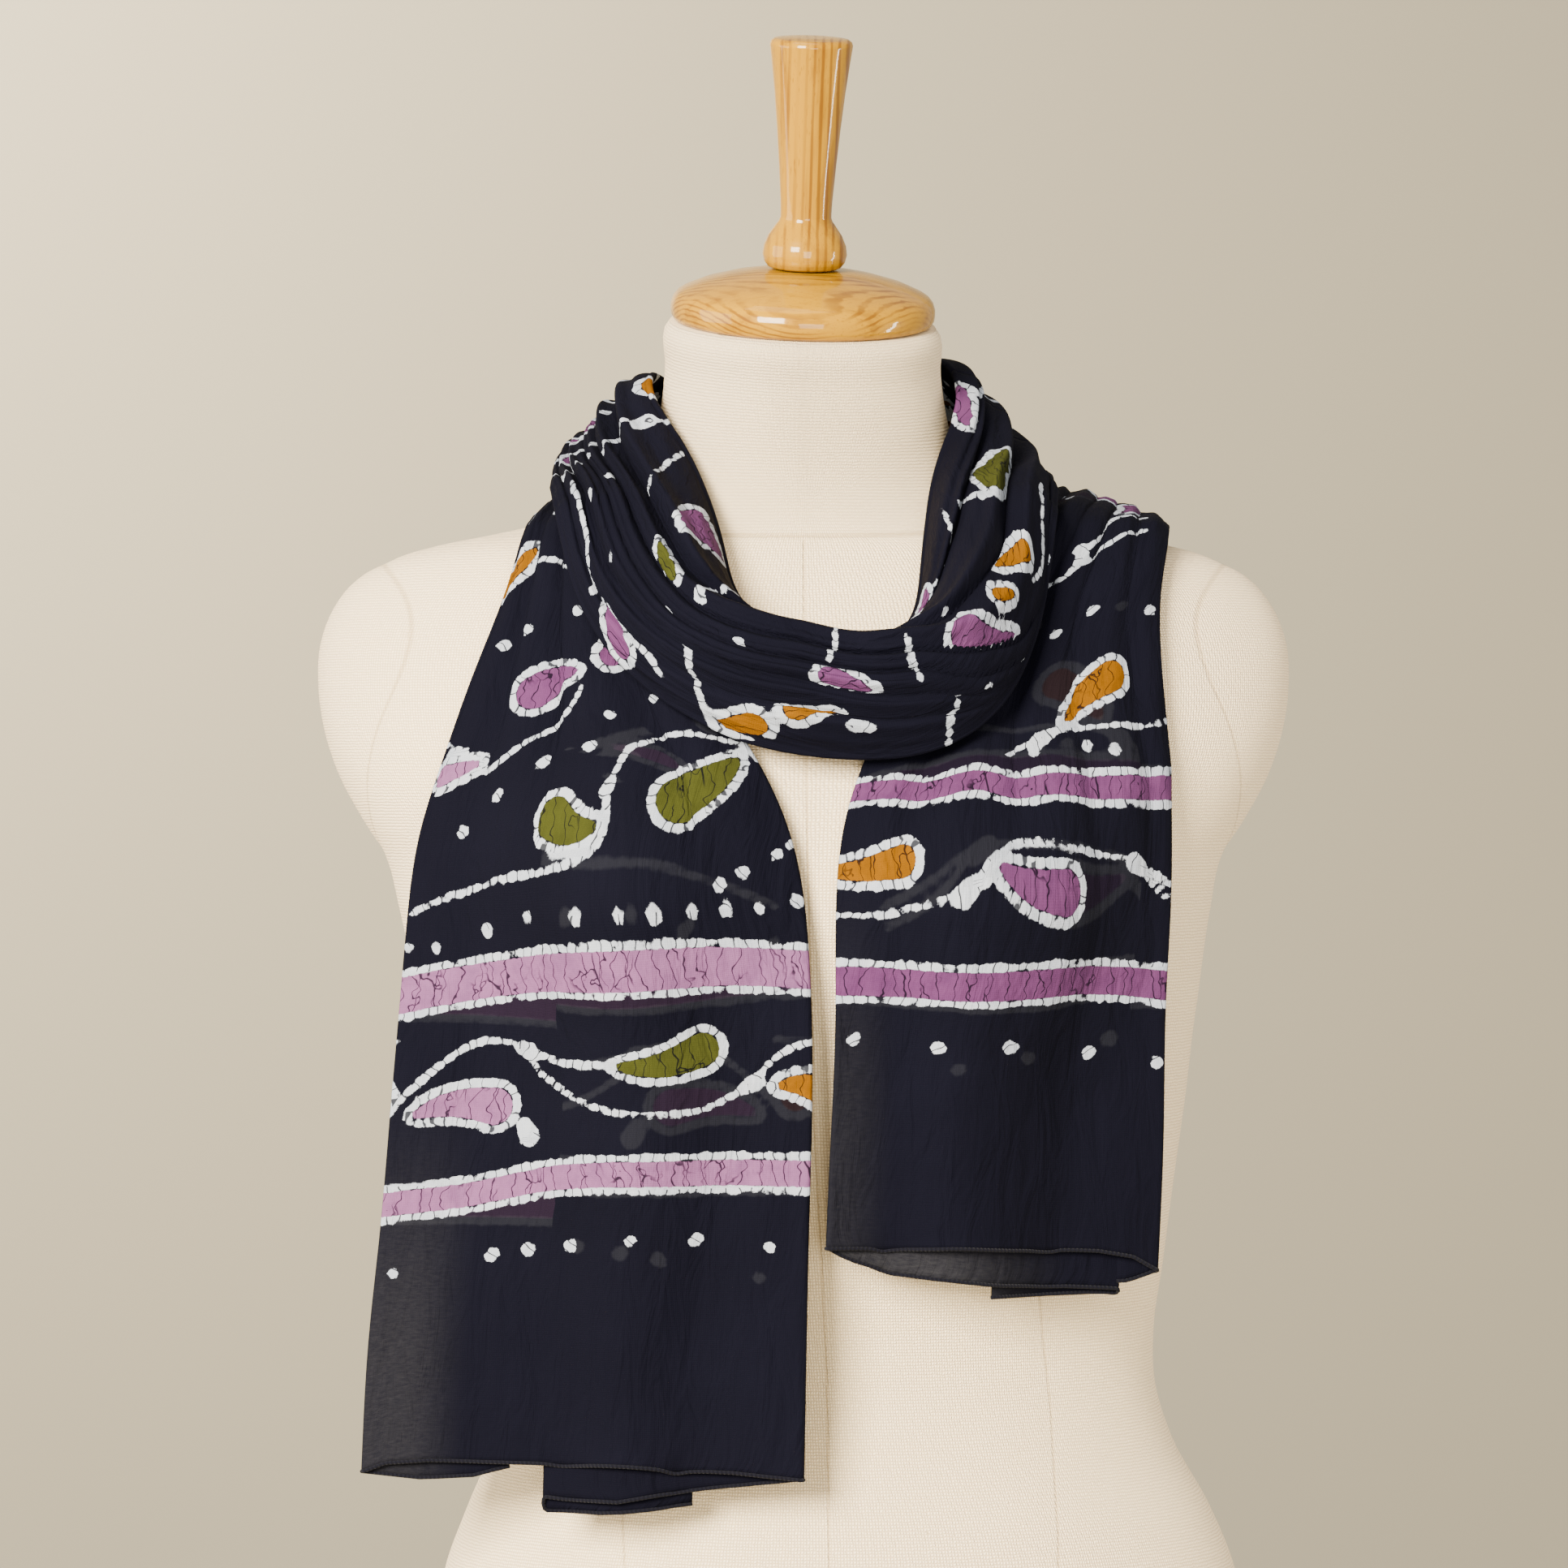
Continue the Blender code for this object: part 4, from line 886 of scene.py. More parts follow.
class Print:
    """The wax lines and dyed shapes, as distances that each point of the cloth carries."""

    def __init__(self, across, up):
        self.spots = np.stack((across, up), axis=1)
        count = len(across)
        self.wax = np.full(count, NO_PRINT)
        self.run = across * 0.7 + up
        self.dye = np.full(count, NO_PRINT)
        self.colour = np.zeros((count, 3))

    def near(self, points, margin):
        """Which spots of the cloth lie by these points."""
        low, high = np.min(points, axis=0) - margin, np.max(points, axis=0) + margin
        return np.nonzero(((self.spots >= low) & (self.spots <= high)).all(axis=1))[0]

    def add_wax(self, which, distance, run):
        closer = distance < self.wax[which]
        chosen = which[closer]
        self.wax[chosen] = distance[closer]
        if run is not None:
            self.run[chosen] = run[closer]

    def add_dye(self, which, distance, colour):
        closer = distance < self.dye[which]
        chosen = which[closer]
        self.dye[chosen] = distance[closer]
        self.colour[chosen] = colour

    def vine(self, wide, line):
        """A wax line through points, whose width swells and narrows a little."""
        knots = np.arange(len(line), dtype=float)
        line = smooth_columns(np.asarray(line, float), knots, np.linspace(0, knots[-1], len(line) * 4))
        which = self.near(line, 8.0)
        if not len(which):
            return
        away, run, _ = to_line(self.spots[which], line)
        best = away.argmin(axis=1)
        rows = np.arange(len(which))
        run = run[rows, best]
        thin = VINE_NARROW + VINE_SWELLS * np.sin(run * VINE_TURNS + line[0, 0]) ** 2
        self.add_wax(which, away[rows, best] - wide * thin / 2.0, run + line[0, 0] * 3.0)

    def drop(self, tip, middle, radius, bend, colour):
        """A dyed drop from its tip to the middle of its round end, outlined in wax."""
        tip, middle = np.asarray(tip, float), np.asarray(middle, float)
        axis = middle - tip
        side = np.array((-axis[1], axis[0])) / np.linalg.norm(axis)
        shares = np.linspace(0.0, 1.0, DROP_STEPS + 1)
        line = tip + axis * shares[:, None] + side * (bend * np.sin(np.pi * shares))[:, None]
        which = self.near(line, radius + 9.0)
        if not len(which):
            return
        away, run, length = to_line(self.spots[which], line)
        distance = away - (TIP_RADIUS + (radius - TIP_RADIUS) * (run / length) ** DROP_SWELL)
        best = distance.argmin(axis=1)
        rows = np.arange(len(which))
        distance, run = distance[rows, best], run[rows, best]
        nose = self.spots[which] - line[-1]
        ahead = nose @ (axis / np.linalg.norm(axis))
        angle = np.arctan2(np.abs(nose @ side), np.maximum(ahead, 0.0))
        run = np.where(run > length - 1e-3, length + radius * (math.pi / 2.0 - angle), run)
        half = WAX_WIDE / 2.0
        self.add_wax(which, np.abs(distance - half) - half, run + middle[0] * 2.0)
        self.add_dye(which, distance + DYE_INSIDE, colour)

    def blob(self, middle, half_long, half_wide, turn):
        """A round or long spot of wax, turned by degrees."""
        turn = math.radians(turn)
        way = np.array((math.cos(turn), math.sin(turn)))
        middle = np.asarray(middle, float)
        reach = max(half_long - half_wide, 0.1)
        line = np.stack((middle - way * reach, middle + way * reach))
        which = self.near(line, half_wide + 6.0)
        if not len(which):
            return
        away, run, length = to_line(self.spots[which], line)
        self.add_wax(which, away[:, 0] - half_wide * (0.8 + 0.2 * run[:, 0] / length), None)

    def band(self, colour, half, line):
        """A dyed band across the cloth between two uneven wax lines."""
        across, up = np.array(line, float).T
        places = np.clip(self.spots[:, 0], across[0], across[-1])
        inside = np.abs(self.spots[:, 1] - smooth_columns(up, across, places)) - half
        which = np.arange(len(inside))
        uneven = 0.25 * np.sin(self.spots[:, 0] * 0.21 + up[0]) + 0.2 * np.sin(self.spots[:, 0] * 0.47)
        run = self.spots[:, 0] + np.where(self.spots[:, 1] > up.mean(), 55.0, 0.0)
        self.add_wax(which, np.abs(inside - 0.4) - (WAX_WIDE - 0.2) / 2.0 - uneven, run)
        self.add_dye(which, inside + 1.0, colour)

    def motifs(self, chart, colours, place, reach=(-1000.0, 10000.0)):
        """Draws the parts of one chart that fall within reach, each of its points moved by place."""
        low, high = reach
        for row in chart["drops"]:
            drop = dict(zip(DROP_COLUMNS, row))
            tip, middle = place(drop["tip_across"], drop["tip_up"]), place(drop["across"], drop["up"])
            if low <= middle[1] < high:
                self.drop(tip, middle, drop["radius"], drop["bend"], colours[drop["dye"]])
        for wide, line in chart["vines"]:
            line = [place(*spot) for spot in line]
            if low <= line[0][1] < high:
                self.vine(wide, line)
        for across, up, half_long, half_wide, turn in chart["blobs"]:
            spot, ahead = place(across, up), place(across + 1.0, up)
            if low <= spot[1] < high:
                self.blob(spot, half_long, half_wide, turn if ahead[0] > spot[0] else 180.0 - turn)
        for across, up in chart["dots"]:
            spot = place(across, up)
            size = chart["dot"] * (0.85 + 0.3 * math.sin(across * 1.7 + up) ** 2)
            if low <= spot[1] < high:
                self.blob(spot, size * 1.18, size * 0.96, 40.0 * math.sin(across * 0.9 + up * 0.4))

    def merge(self, which, other):
        """Takes over the nearer shapes of another print that covers some of the same points."""
        closer = other.wax < self.wax[which]
        self.wax[which[closer]], self.run[which[closer]] = other.wax[closer], other.run[closer]
        closer = other.dye < self.dye[which]
        self.dye[which[closer]], self.colour[which[closer]] = other.dye[closer], other.colour[closer]


def print_cloth(across, places, whole, colours):
    """The whole print at points of the cloth: the charts of the tails and the loop, and the field."""
    from_left = whole - places
    made = Print(across, from_left)
    for low, high in FIELD_REACHES:
        if from_left.max() < low - CHART_MARGIN or from_left.min() > high + CHART_MARGIN:
            continue
        for up_step in range(int(low / FIELD_UP), int(high / FIELD_UP) + 1):
            for across_step in range(-1, 3):
                turned = (across_step + up_step) % 2 == 1
                left = across_step * FIELD_ACROSS + FIELD_SHIFT * (up_step % 3)

                def place(a, b, left=left, low_end=up_step * FIELD_UP, turned=turned):
                    return (left + (FIELD_ACROSS - a if turned else a), low_end + b)

                made.motifs(FIELD, colours, place, (low, high))
    for chart, up in ((RIGHT_CHART, places), (LEFT_CHART, from_left), (LOOP_CHART, from_left)):
        low, high = chart["reach"]
        near = np.nonzero((up > low - CHART_MARGIN) & (up < high + CHART_MARGIN))[0]
        if not len(near):
            continue
        drawn = Print(across[near], up[near])
        for colour, half, line in chart["bands"]:
            drawn.band(colours[colour], half, line)
        for repeat in range(-1, 4):
            drawn.motifs(chart, colours, lambda a, b, shift=repeat * CHART_REPEATS: (a + shift, b))
        made.merge(near, drawn)
    return made


# ---------------------------------------------------------------- meshes
def grid_mesh(name, points, flat=None, carried=None, closed=False):
    """A mesh from rows by columns of points in millimetres, with its flat sizes and carried values."""
    rows, columns = points.shape[:2]
    shape = bmesh.new()
    bmesh.ops.create_grid(shape, x_segments=columns - 1, y_segments=rows - 1, size=1.0)
    mesh = bpy.data.meshes.new(name)
    shape.to_mesh(mesh)
    shape.free()
    spots = np.zeros(len(mesh.vertices) * 3, np.float32)
    mesh.vertices.foreach_get("co", spots)
    spots = spots.reshape(-1, 3)
    row = np.rint((spots[:, 1] + 1.0) / 2.0 * (rows - 1)).astype(int)
    column = np.rint((spots[:, 0] + 1.0) / 2.0 * (columns - 1)).astype(int)
    order = row * columns + column
    placed = (points.reshape(-1, 3)[order] * MM).astype(np.float32)
    mesh.vertices.foreach_set("co", placed.ravel())
    if flat is not None:
        corners = np.zeros(len(mesh.loops), np.int32)
        mesh.loops.foreach_get("vertex_index", corners)
        laid = (flat.reshape(-1, 2)[order][corners] * MM).astype(np.float32)
        mesh.uv_layers.new(name="flat").data.foreach_set("uv", laid.ravel())
    for key, values in (carried or {}).items():
        if values.ndim == 3:
            layer = mesh.attributes.new(key, "FLOAT_COLOR", "POINT")
            filled = np.concatenate((values.reshape(-1, 3)[order], np.ones((len(order), 1))), axis=1)
            layer.data.foreach_set("color", filled.astype(np.float32).ravel())
        else:
            layer = mesh.attributes.new(key, "FLOAT", "POINT")
            layer.data.foreach_set("value", values.reshape(-1)[order].astype(np.float32))
    if closed:
        shape = bmesh.new()
        shape.from_mesh(mesh)
        bmesh.ops.remove_doubles(shape, verts=shape.verts, dist=WELD)
        rims = [edge for edge in shape.edges if edge.is_boundary]
        if rims:
            bmesh.ops.holes_fill(shape, edges=rims, sides=0)
        bmesh.ops.recalc_face_normals(shape, faces=shape.faces)
        shape.to_mesh(mesh)
        shape.free()
    mesh.update()
    return mesh


def piece(name, mesh, coat):
    """One object of the scene from its mesh, riding on the frame's one body."""
    made = bpy.data.objects.new(name, mesh)
    bpy.context.scene.collection.objects.link(made)
    mesh.materials.append(coat)
    mesh.polygons.foreach_set("use_smooth", [True] * len(mesh.polygons))
    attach(made, "root")
    return made


def tube_mesh(name, path, radius):
    """A round cord along a line of points, closed at both ends, in millimetres."""
    along = unit(np.gradient(path, axis=0))
    side = unit(np.cross(along, (0.0, 0.0, 1.0)))
    upper = np.cross(side, along)
    turns = np.linspace(0.0, 2.0 * np.pi, CORD_SIDES + 1)
    rings = (path[:, None, :] + radius * np.cos(turns)[None, :, None] * side[:, None, :]
             + radius * np.sin(turns)[None, :, None] * upper[:, None, :])
    run = run_of(np.linalg.norm(np.diff(path, axis=0), axis=1))
    flat = np.stack(np.broadcast_arrays(turns[None, :] * radius, run[:, None]), axis=-1)
    return grid_mesh(name, rings, flat, closed=True)


# ---------------------------------------------------------------- finishes
class Finish:
    """A material whose nodes are added one after another."""

    SOCKETS = {
        "sheen": "Sheen Weight", "specular": "Specular IOR Level", "coat": "Coat Weight",
        "coat_roughness": "Coat Roughness",
    }

    def __init__(self, name, roughness, **sockets):
        self.material = bpy.data.materials.new(name)
        self.material.use_nodes = True
        self.tree = self.material.node_tree
        self.shader = self.tree.nodes["Principled BSDF"]
        self.shader.inputs["Roughness"].default_value = roughness
        for key, value in sockets.items():
            self.shader.inputs[self.SOCKETS[key]].default_value = value

    def node(self, kind, inputs=(), **settings):
        made = self.tree.nodes.new("ShaderNode" + kind)
        for key, value in settings.items():
            setattr(made, key, value)
        for key, value in dict(inputs).items():
            if isinstance(value, bpy.types.NodeSocket):
                self.tree.links.new(value, made.inputs[key])
            else:
                made.inputs[key].default_value = value
        return made

    def math(self, operation, first, second=0.0, third=0.0):
        return self.node("Math", {0: first, 1: second, 2: third}, operation=operation).outputs[0]

    def times(self, first, second):
        return self.math("MULTIPLY", first, second)

    def plus(self, first, second):
        return self.math("ADD", first, second)

    def less(self, first, second):
        return self.math("SUBTRACT", first, second)

    def centred(self, value, size):
        """A value from 0 to 1 moved to lie about zero, times a size."""
        return self.times(self.less(value, 0.5), size)

    def step(self, low, high, value):
        """0 below low and 1 above high, with a soft change between."""
        made = self.node("MapRange", {"Value": value, "From Min": low, "From Max": high})
        made.interpolation_type = "SMOOTHSTEP"
        return made.outputs[0]

    def below(self, low, high, value):
        """1 below low and 0 above high, with a soft change between."""
        return self.less(1.0, self.step(low, high, value))

    def mix(self, share, first, second, blend="MIX"):
        made = self.node("Mix", data_type="RGBA", blend_type=blend)
        for socket, value in ((made.inputs[0], share), (made.inputs[6], first), (made.inputs[7], second)):
            if isinstance(value, bpy.types.NodeSocket):
                self.tree.links.new(value, socket)
            elif socket.type == "RGBA":
                socket.default_value = (*value, 1.0)
            else:
                socket.default_value = value
        return made.outputs[2]

    def tinted(self, first, second, share, most):
        """The first colour with up to the most of the second, as the share says."""
        return self.mix(self.times(share, most), first, second)

    def attribute(self, name, output="Fac"):
        return self.node("Attribute", attribute_name=name, attribute_type="GEOMETRY").outputs[output]

    def flat(self, across, along):
        """The piece's own flat coordinates, in metres, times a scale each way."""
        source = self.node("UVMap").outputs[0]
        return self.node("Mapping", {"Vector": source, "Scale": (across, along, 1.0)}).outputs[0]

    def place(self, turn=(0.0, 0.0, 0.0), move=(0.0, 0.0, 0.0)):
        """The piece's object coordinates, turned and then moved."""
        source = self.node("TexCoord").outputs["Object"]
        return self.node("Mapping", {"Vector": source, "Rotation": turn, "Location": move}).outputs[0]

    def noise(self, vector, scale, detail=2.0, roughness=0.5, distortion=0.0):
        inputs = {"Vector": vector, "Scale": scale, "Detail": detail, "Roughness": roughness,
                  "Distortion": distortion}
        return self.node("TexNoise", inputs).outputs["Fac"]

    def edges(self, key, source, randomness):
        """How far each spot is from the edges of scattered cells: on a line by W, or over a plane."""
        made = self.node("TexVoronoi", voronoi_dimensions="1D" if key == "W" else "2D",
                         feature="DISTANCE_TO_EDGE")
        self.tree.links.new(source, made.inputs[key])
        made.inputs["Scale"].default_value = 1.0
        made.inputs["Randomness"].default_value = randomness
        return made.outputs["Distance"]

    def bump(self, height, strength, distance, normal=None):
        inputs = {"Height": height, "Strength": strength, "Distance": distance}
        if normal is not None:
            inputs["Normal"] = normal
        return self.node("Bump", inputs).outputs[0]

    def paint(self, colour, normal=None, roughness=None):
        for key, value in (("Base Color", colour), ("Roughness", roughness), ("Normal", normal)):
            if value is not None:
                self.tree.links.new(value, self.shader.inputs[key])
        return self.material


def weave(finish, pitch):
    """Threads over and under, as a height from 0 to 1, at a pitch in metres."""
    flat = finish.flat(1.0 / pitch, 1.0 / pitch)
    drift = finish.centred(finish.noise(finish.flat(300.0, 300.0), 1.0), THREAD_DRIFT)
    waves = []
    for part in finish.node("SeparateXYZ", {0: flat}).outputs[:2]:
        turn = finish.times(finish.plus(part, drift), math.pi)
        waves.append(finish.math("ABSOLUTE", finish.math("SINE", turn)))
    return finish.times(*waves)


def batik_finish(settings):
    """Dark dyed cotton with wax lines broken by cracks, and dyed drops and bands."""
    made = Finish("batik_cotton", 0.9, specular=0.04)
    millimetres = made.flat(1000.0, 1000.0)
    wobble = made.centred(made.noise(millimetres, 0.32), EDGE_WOBBLE)
    ragged = made.plus(wobble, made.centred(made.noise(millimetres, 1.6), EDGE_FRAY))

    slip = made.noise(millimetres, 0.14, 1.0)
    run = made.plus(made.times(made.attribute("run"), CRACKS_PER_MM), made.times(slip, 1.1))
    cells = made.edges("W", run, 0.62)
    thick = made.times(made.noise(millimetres, 0.3, 1.0), 0.07)
    crack = made.below(0.0, CRACK_WIDE, made.less(cells, thick))
    bead = made.times(made.less(0.26, cells), 0.8)

    wax = made.plus(made.plus(made.attribute("wax"), ragged), bead)
    white = made.below(-EDGE_SOFT, EDGE_SOFT, wax)
    dyed = made.below(-EDGE_SOFT, EDGE_SOFT, made.plus(made.attribute("dye"), ragged))

    # Fine dark lines where the wax on the dyed parts cracked: a net in places, and long ones across.
    warped = made.noise(millimetres, 0.12)
    bend = made.node("CombineXYZ", {0: warped, 1: warped}).outputs[0]
    net = made.flat(1000.0 / NET_ACROSS, 1000.0 / NET_ALONG)
    bent = made.node("VectorMath", {0: net, 1: bend}, operation="ADD").outputs[0]
    hair = made.below(0.010, 0.032, made.edges("Vector", bent, 1.0))
    seen = made.step(0.42, 0.56, made.noise(millimetres, 0.06, 1.0))
    sway = made.times(made.noise(made.flat(60.0, 90.0), 1.0), 2.2)
    across = made.node("SeparateXYZ", {0: millimetres}).outputs[0]
    lines = made.edges("W", made.math("MULTIPLY_ADD", across, HAIRS_PER_MM, sway), 1.0)
    hair = made.math("MAXIMUM", made.times(hair, seen), made.below(0.012, 0.05, lines))

    threads = weave(made, settings.thread_pitch)
    navy = made.mix(made.noise(millimetres, 0.02, 3.0), settings.navy, settings.navy_light)
    navy = made.tinted(navy, settings.navy_light, threads, 0.35)
    uneven = made.noise(made.flat(260.0, 900.0), 1.0, 4.0, 0.7)
    through = made.times(made.attribute("thin"), made.math("MULTIPLY_ADD", uneven, 1.5, -0.15))
    navy = made.mix(through, navy, settings.single_layer)
    ghost = made.below(-0.6, 0.9, made.plus(made.attribute("ghost_wax"), wobble))
    ghost_dyed = made.below(-0.6, 0.6, made.attribute("ghost_dye"))
    base = made.tinted(navy, settings.wax, ghost, GHOST_WAX_SHOWS)
    base = made.tinted(base, made.attribute("ghost_colour", "Color"), ghost_dyed, GHOST_DYE_SHOWS)

    pale = made.mix(made.noise(millimetres, 0.08, 3.0), settings.wax, settings.wax_shade)
    pale = made.tinted(pale, settings.wax_shade, threads, 0.16)
    unbroken = made.less(1.0, made.times(crack, 0.92))
    marked = made.mix(made.times(white, unbroken), base, pale)
    tint = made.attribute("dye_colour", "Color")
    deep = made.mix(1.0, tint, DEEP_DYE, "MULTIPLY")
    mottle = made.step(0.35, 0.75, made.noise(millimetres, 0.09, 4.0, 0.65))
    tint = made.tinted(tint, deep, mottle, 0.7)
    tint = made.tinted(tint, deep, threads, 0.22)
    tint = made.tinted(tint, settings.navy, hair, 0.9)
    normal = made.bump(threads, 0.35, 0.0002)
    normal = made.bump(made.noise(millimetres, 0.45, 3.0), 0.2, 0.0008, normal)
    normal = made.bump(made.noise(made.flat(110.0, 26.0), 1.0, 3.0, 0.55, 0.8), 0.55, 0.004, normal)
    return made.paint(made.mix(dyed, marked, tint), normal)


def hem_finish(settings):
    """The rolled edge: twisted dark thread."""
    made = Finish("hem_thread", 0.9, sheen=0.03, specular=0.1)
    across, along, _ = made.node("SeparateXYZ", {0: made.flat(1000.0, 1000.0)}).outputs
    twist = made.math("SINE", made.plus(made.times(along, 3.6), made.times(across, 1.4)))
    share = made.math("MULTIPLY_ADD", twist, 0.5, 0.5)
    return made.paint(made.mix(share, settings.navy, settings.navy_light), made.bump(share, 0.7, 0.0004))


def canvas_finish(settings):
    """Cream canvas with its weave, painted lighter on the raised threads as highlight and darker in the dips
    as shade, and stitched seams where the carried lines cross zero.
    """
    made = Finish("cream_canvas", 0.92, sheen=0.1, specular=0.2)
    threads = weave(made, settings.thread_pitch)
    millimetres = made.flat(1000.0, 1000.0)
    across, along, _ = made.node("SeparateXYZ", {0: made.flat(2200.0, 2200.0)}).outputs
    slant = made.math("SINE", made.plus(across, made.times(along, 0.6)))
    height = made.plus(made.times(threads, 0.7), made.times(slant, 0.12))
    height = made.plus(height, made.times(made.noise(millimetres, 0.9, 3.0, 0.6), 0.35))
    colour = made.mix(made.noise(millimetres, 0.012, 4.0), settings.canvas, settings.canvas_shade)
    # The weave's dips are painted half way to the seam colour, as painted shade, and the raised threads
    # towards the light canvas, as painted highlight.
    colour = made.mix(threads, made.mix(0.5, colour, settings.seam), settings.canvas_light)
    slub = made.step(0.62, 0.80, made.noise(made.flat(60.0, 900.0), 1.0))
    colour = made.tinted(colour, settings.seam, slub, 0.10)
    fleck = made.step(0.76, 0.80, made.noise(millimetres, 0.21, 1.0))
    colour = made.tinted(colour, settings.seam, fleck, 0.22)
    sewn = None
    for name in SEAMS:
        near = made.below(0.1, 0.9, made.math("ABSOLUTE", made.attribute(name)))
        sewn = near if sewn is None else made.math("MAXIMUM", sewn, near)
    colour = made.tinted(colour, settings.seam, sewn, 0.42)
    normal = made.bump(height, 1.0, 0.0006)
    return made.paint(colour, made.bump(made.less(1.0, sewn), 0.35, 0.0006, normal))


def wood_finish(settings, name, turn, move, grain, stretch, ring_scale):
    """Lacquered wood with growth rings, darker streaks along the grain and fine pores."""
    made = Finish(name, 0.4, coat=0.45, coat_roughness=0.05, specular=0.05)
    drawn = made.node("Mapping", {"Vector": made.place(turn, move), "Scale": stretch}).outputs[0]
    wave = made.node("TexWave", {"Vector": drawn, "Scale": ring_scale, "Distortion": 2.4, "Detail": 2.0,
                                 "Detail Scale": 1.1, "Detail Roughness": 0.55}, **grain).outputs["Fac"]
    ring = made.times(made.step(0.5, 0.95, wave), made.step(0.3, 0.65, made.noise(drawn, 70.0)))
    streak = made.step(0.48, 0.72, made.noise(drawn, 150.0, 4.0, 0.6, 0.3))
    pores = made.node("Mapping", {"Vector": drawn, "Scale": (1900.0, 1900.0, 1900.0)}).outputs[0]
    pore = made.step(0.62, 0.74, made.noise(pores, 1.0, 1.0))
    colour = made.mix(made.noise(drawn, 24.0), settings.light, settings.middle)
    for mark, most in ((ring, 0.7), (streak, 0.45), (pore, 0.4)):
        colour = made.tinted(colour, settings.dark, mark, most)
    return made.paint(colour, made.bump(pore, 0.06, 0.0002), made.math("MULTIPLY_ADD", ring, 0.1, 0.26))


# ---------------------------------------------------------------- settings
def tone(name, colour, text):
    return FloatVectorProperty(name=name, description=text, subtype="COLOR", size=3, min=0.0, max=1.0,
                               default=linear(*colour))


def measure(name, metres, text):
    return FloatProperty(name=name, description=text, default=metres, unit="LENGTH")


def lamp_power(name, watts, text):
    return FloatProperty(name=name, description=text, default=watts, unit="POWER")


class StoleSettings(bpy.types.PropertyGroup):
    """Sizes and colours of the stole."""
    wall: measure("Cloth thickness", 0.0005, "Thickness of the cotton")
    thread_pitch: measure("Thread pitch", 0.0008, "From one thread to the next")
    hem_radius: measure("Hem radius", 0.0008, "Radius of the rolled edge")
    navy: tone("Navy", (4, 4, 11), "The ground colour")
    navy_light: tone("Light navy", (8, 8, 18), "Threads that catch the light")
    single_layer: tone("Single layer", (36, 36, 39), "The ground where light comes through one layer")
    wax: tone("Wax lines", (160, 165, 174), "Cotton that the wax kept white")
    wax_shade: tone("Wax shade", (122, 130, 144), "The greyer part of the white")
    olive: tone("Olive", (47, 50, 16), "Dye of the green drops")
    ochre: tone("Ochre", (98, 60, 0), "Dye of the orange drops")
    mauve: tone("Mauve", (76, 42, 75), "Dye of the right tail's bands")
    pink: tone("Pink", (106, 69, 103), "Dye of the left tail's bands")


class FormSettings(bpy.types.PropertyGroup):
    """Sizes and colours of the dress form's cover."""
    thread_pitch: measure("Thread pitch", 0.0013, "From one thread to the next")
    canvas: tone("Canvas", (240, 217, 178), "The cover's main colour")
    canvas_light: tone("Light canvas", (249, 230, 194), "Threads that catch the light")
    canvas_shade: tone("Dark canvas", (228, 204, 164), "The cover's darker patches")
    # Besides the sewn lines, slubs and flecks, this colour paints the shade in the dips of the weave.
    seam: tone("Seams", (158, 130, 88), "Sewn lines, slubs and the dips of the weave")


class WoodSettings(bpy.types.PropertyGroup):
    """Colours and fineness of the turned wood."""
    light: tone("Light wood", (162, 118, 0), "Wood between the rings")
    middle: tone("Middle wood", (140, 98, 0), "Broad darker parts")
    dark: tone("Dark wood", (86, 46, 0), "Growth rings, streaks and pores")
    steps: IntProperty(name="Turning steps", description="Facets round the turned pieces",
                       default=112, min=24)


class StudioSettings(bpy.types.PropertyGroup):
    """The camera, lights and backdrop."""
    eye: FloatVectorProperty(name="Camera", description="Where the camera stands", subtype="TRANSLATION",
                             unit="LENGTH", size=3, default=(-0.0083, -CAMERA_AWAY, 0.467))
    reach: FloatProperty(name="View angle", description="Angle of the camera's view", subtype="ANGLE",
                         default=2.0 * math.atan(HALF_FRAME / CAMERA_AWAY))
    backdrop: tone("Backdrop", (160, 152, 132), "Floor and backdrop")
    key: lamp_power("Main light", 450.0, "Power of the main light")
    fill: lamp_power("Second light", 62.0, "Power of the second light")
    wall: lamp_power("Wall light", 520.0, "Power of the light on the backdrop")
    sky: FloatProperty(name="Room light", description="Strength of the light all round", default=0.75)


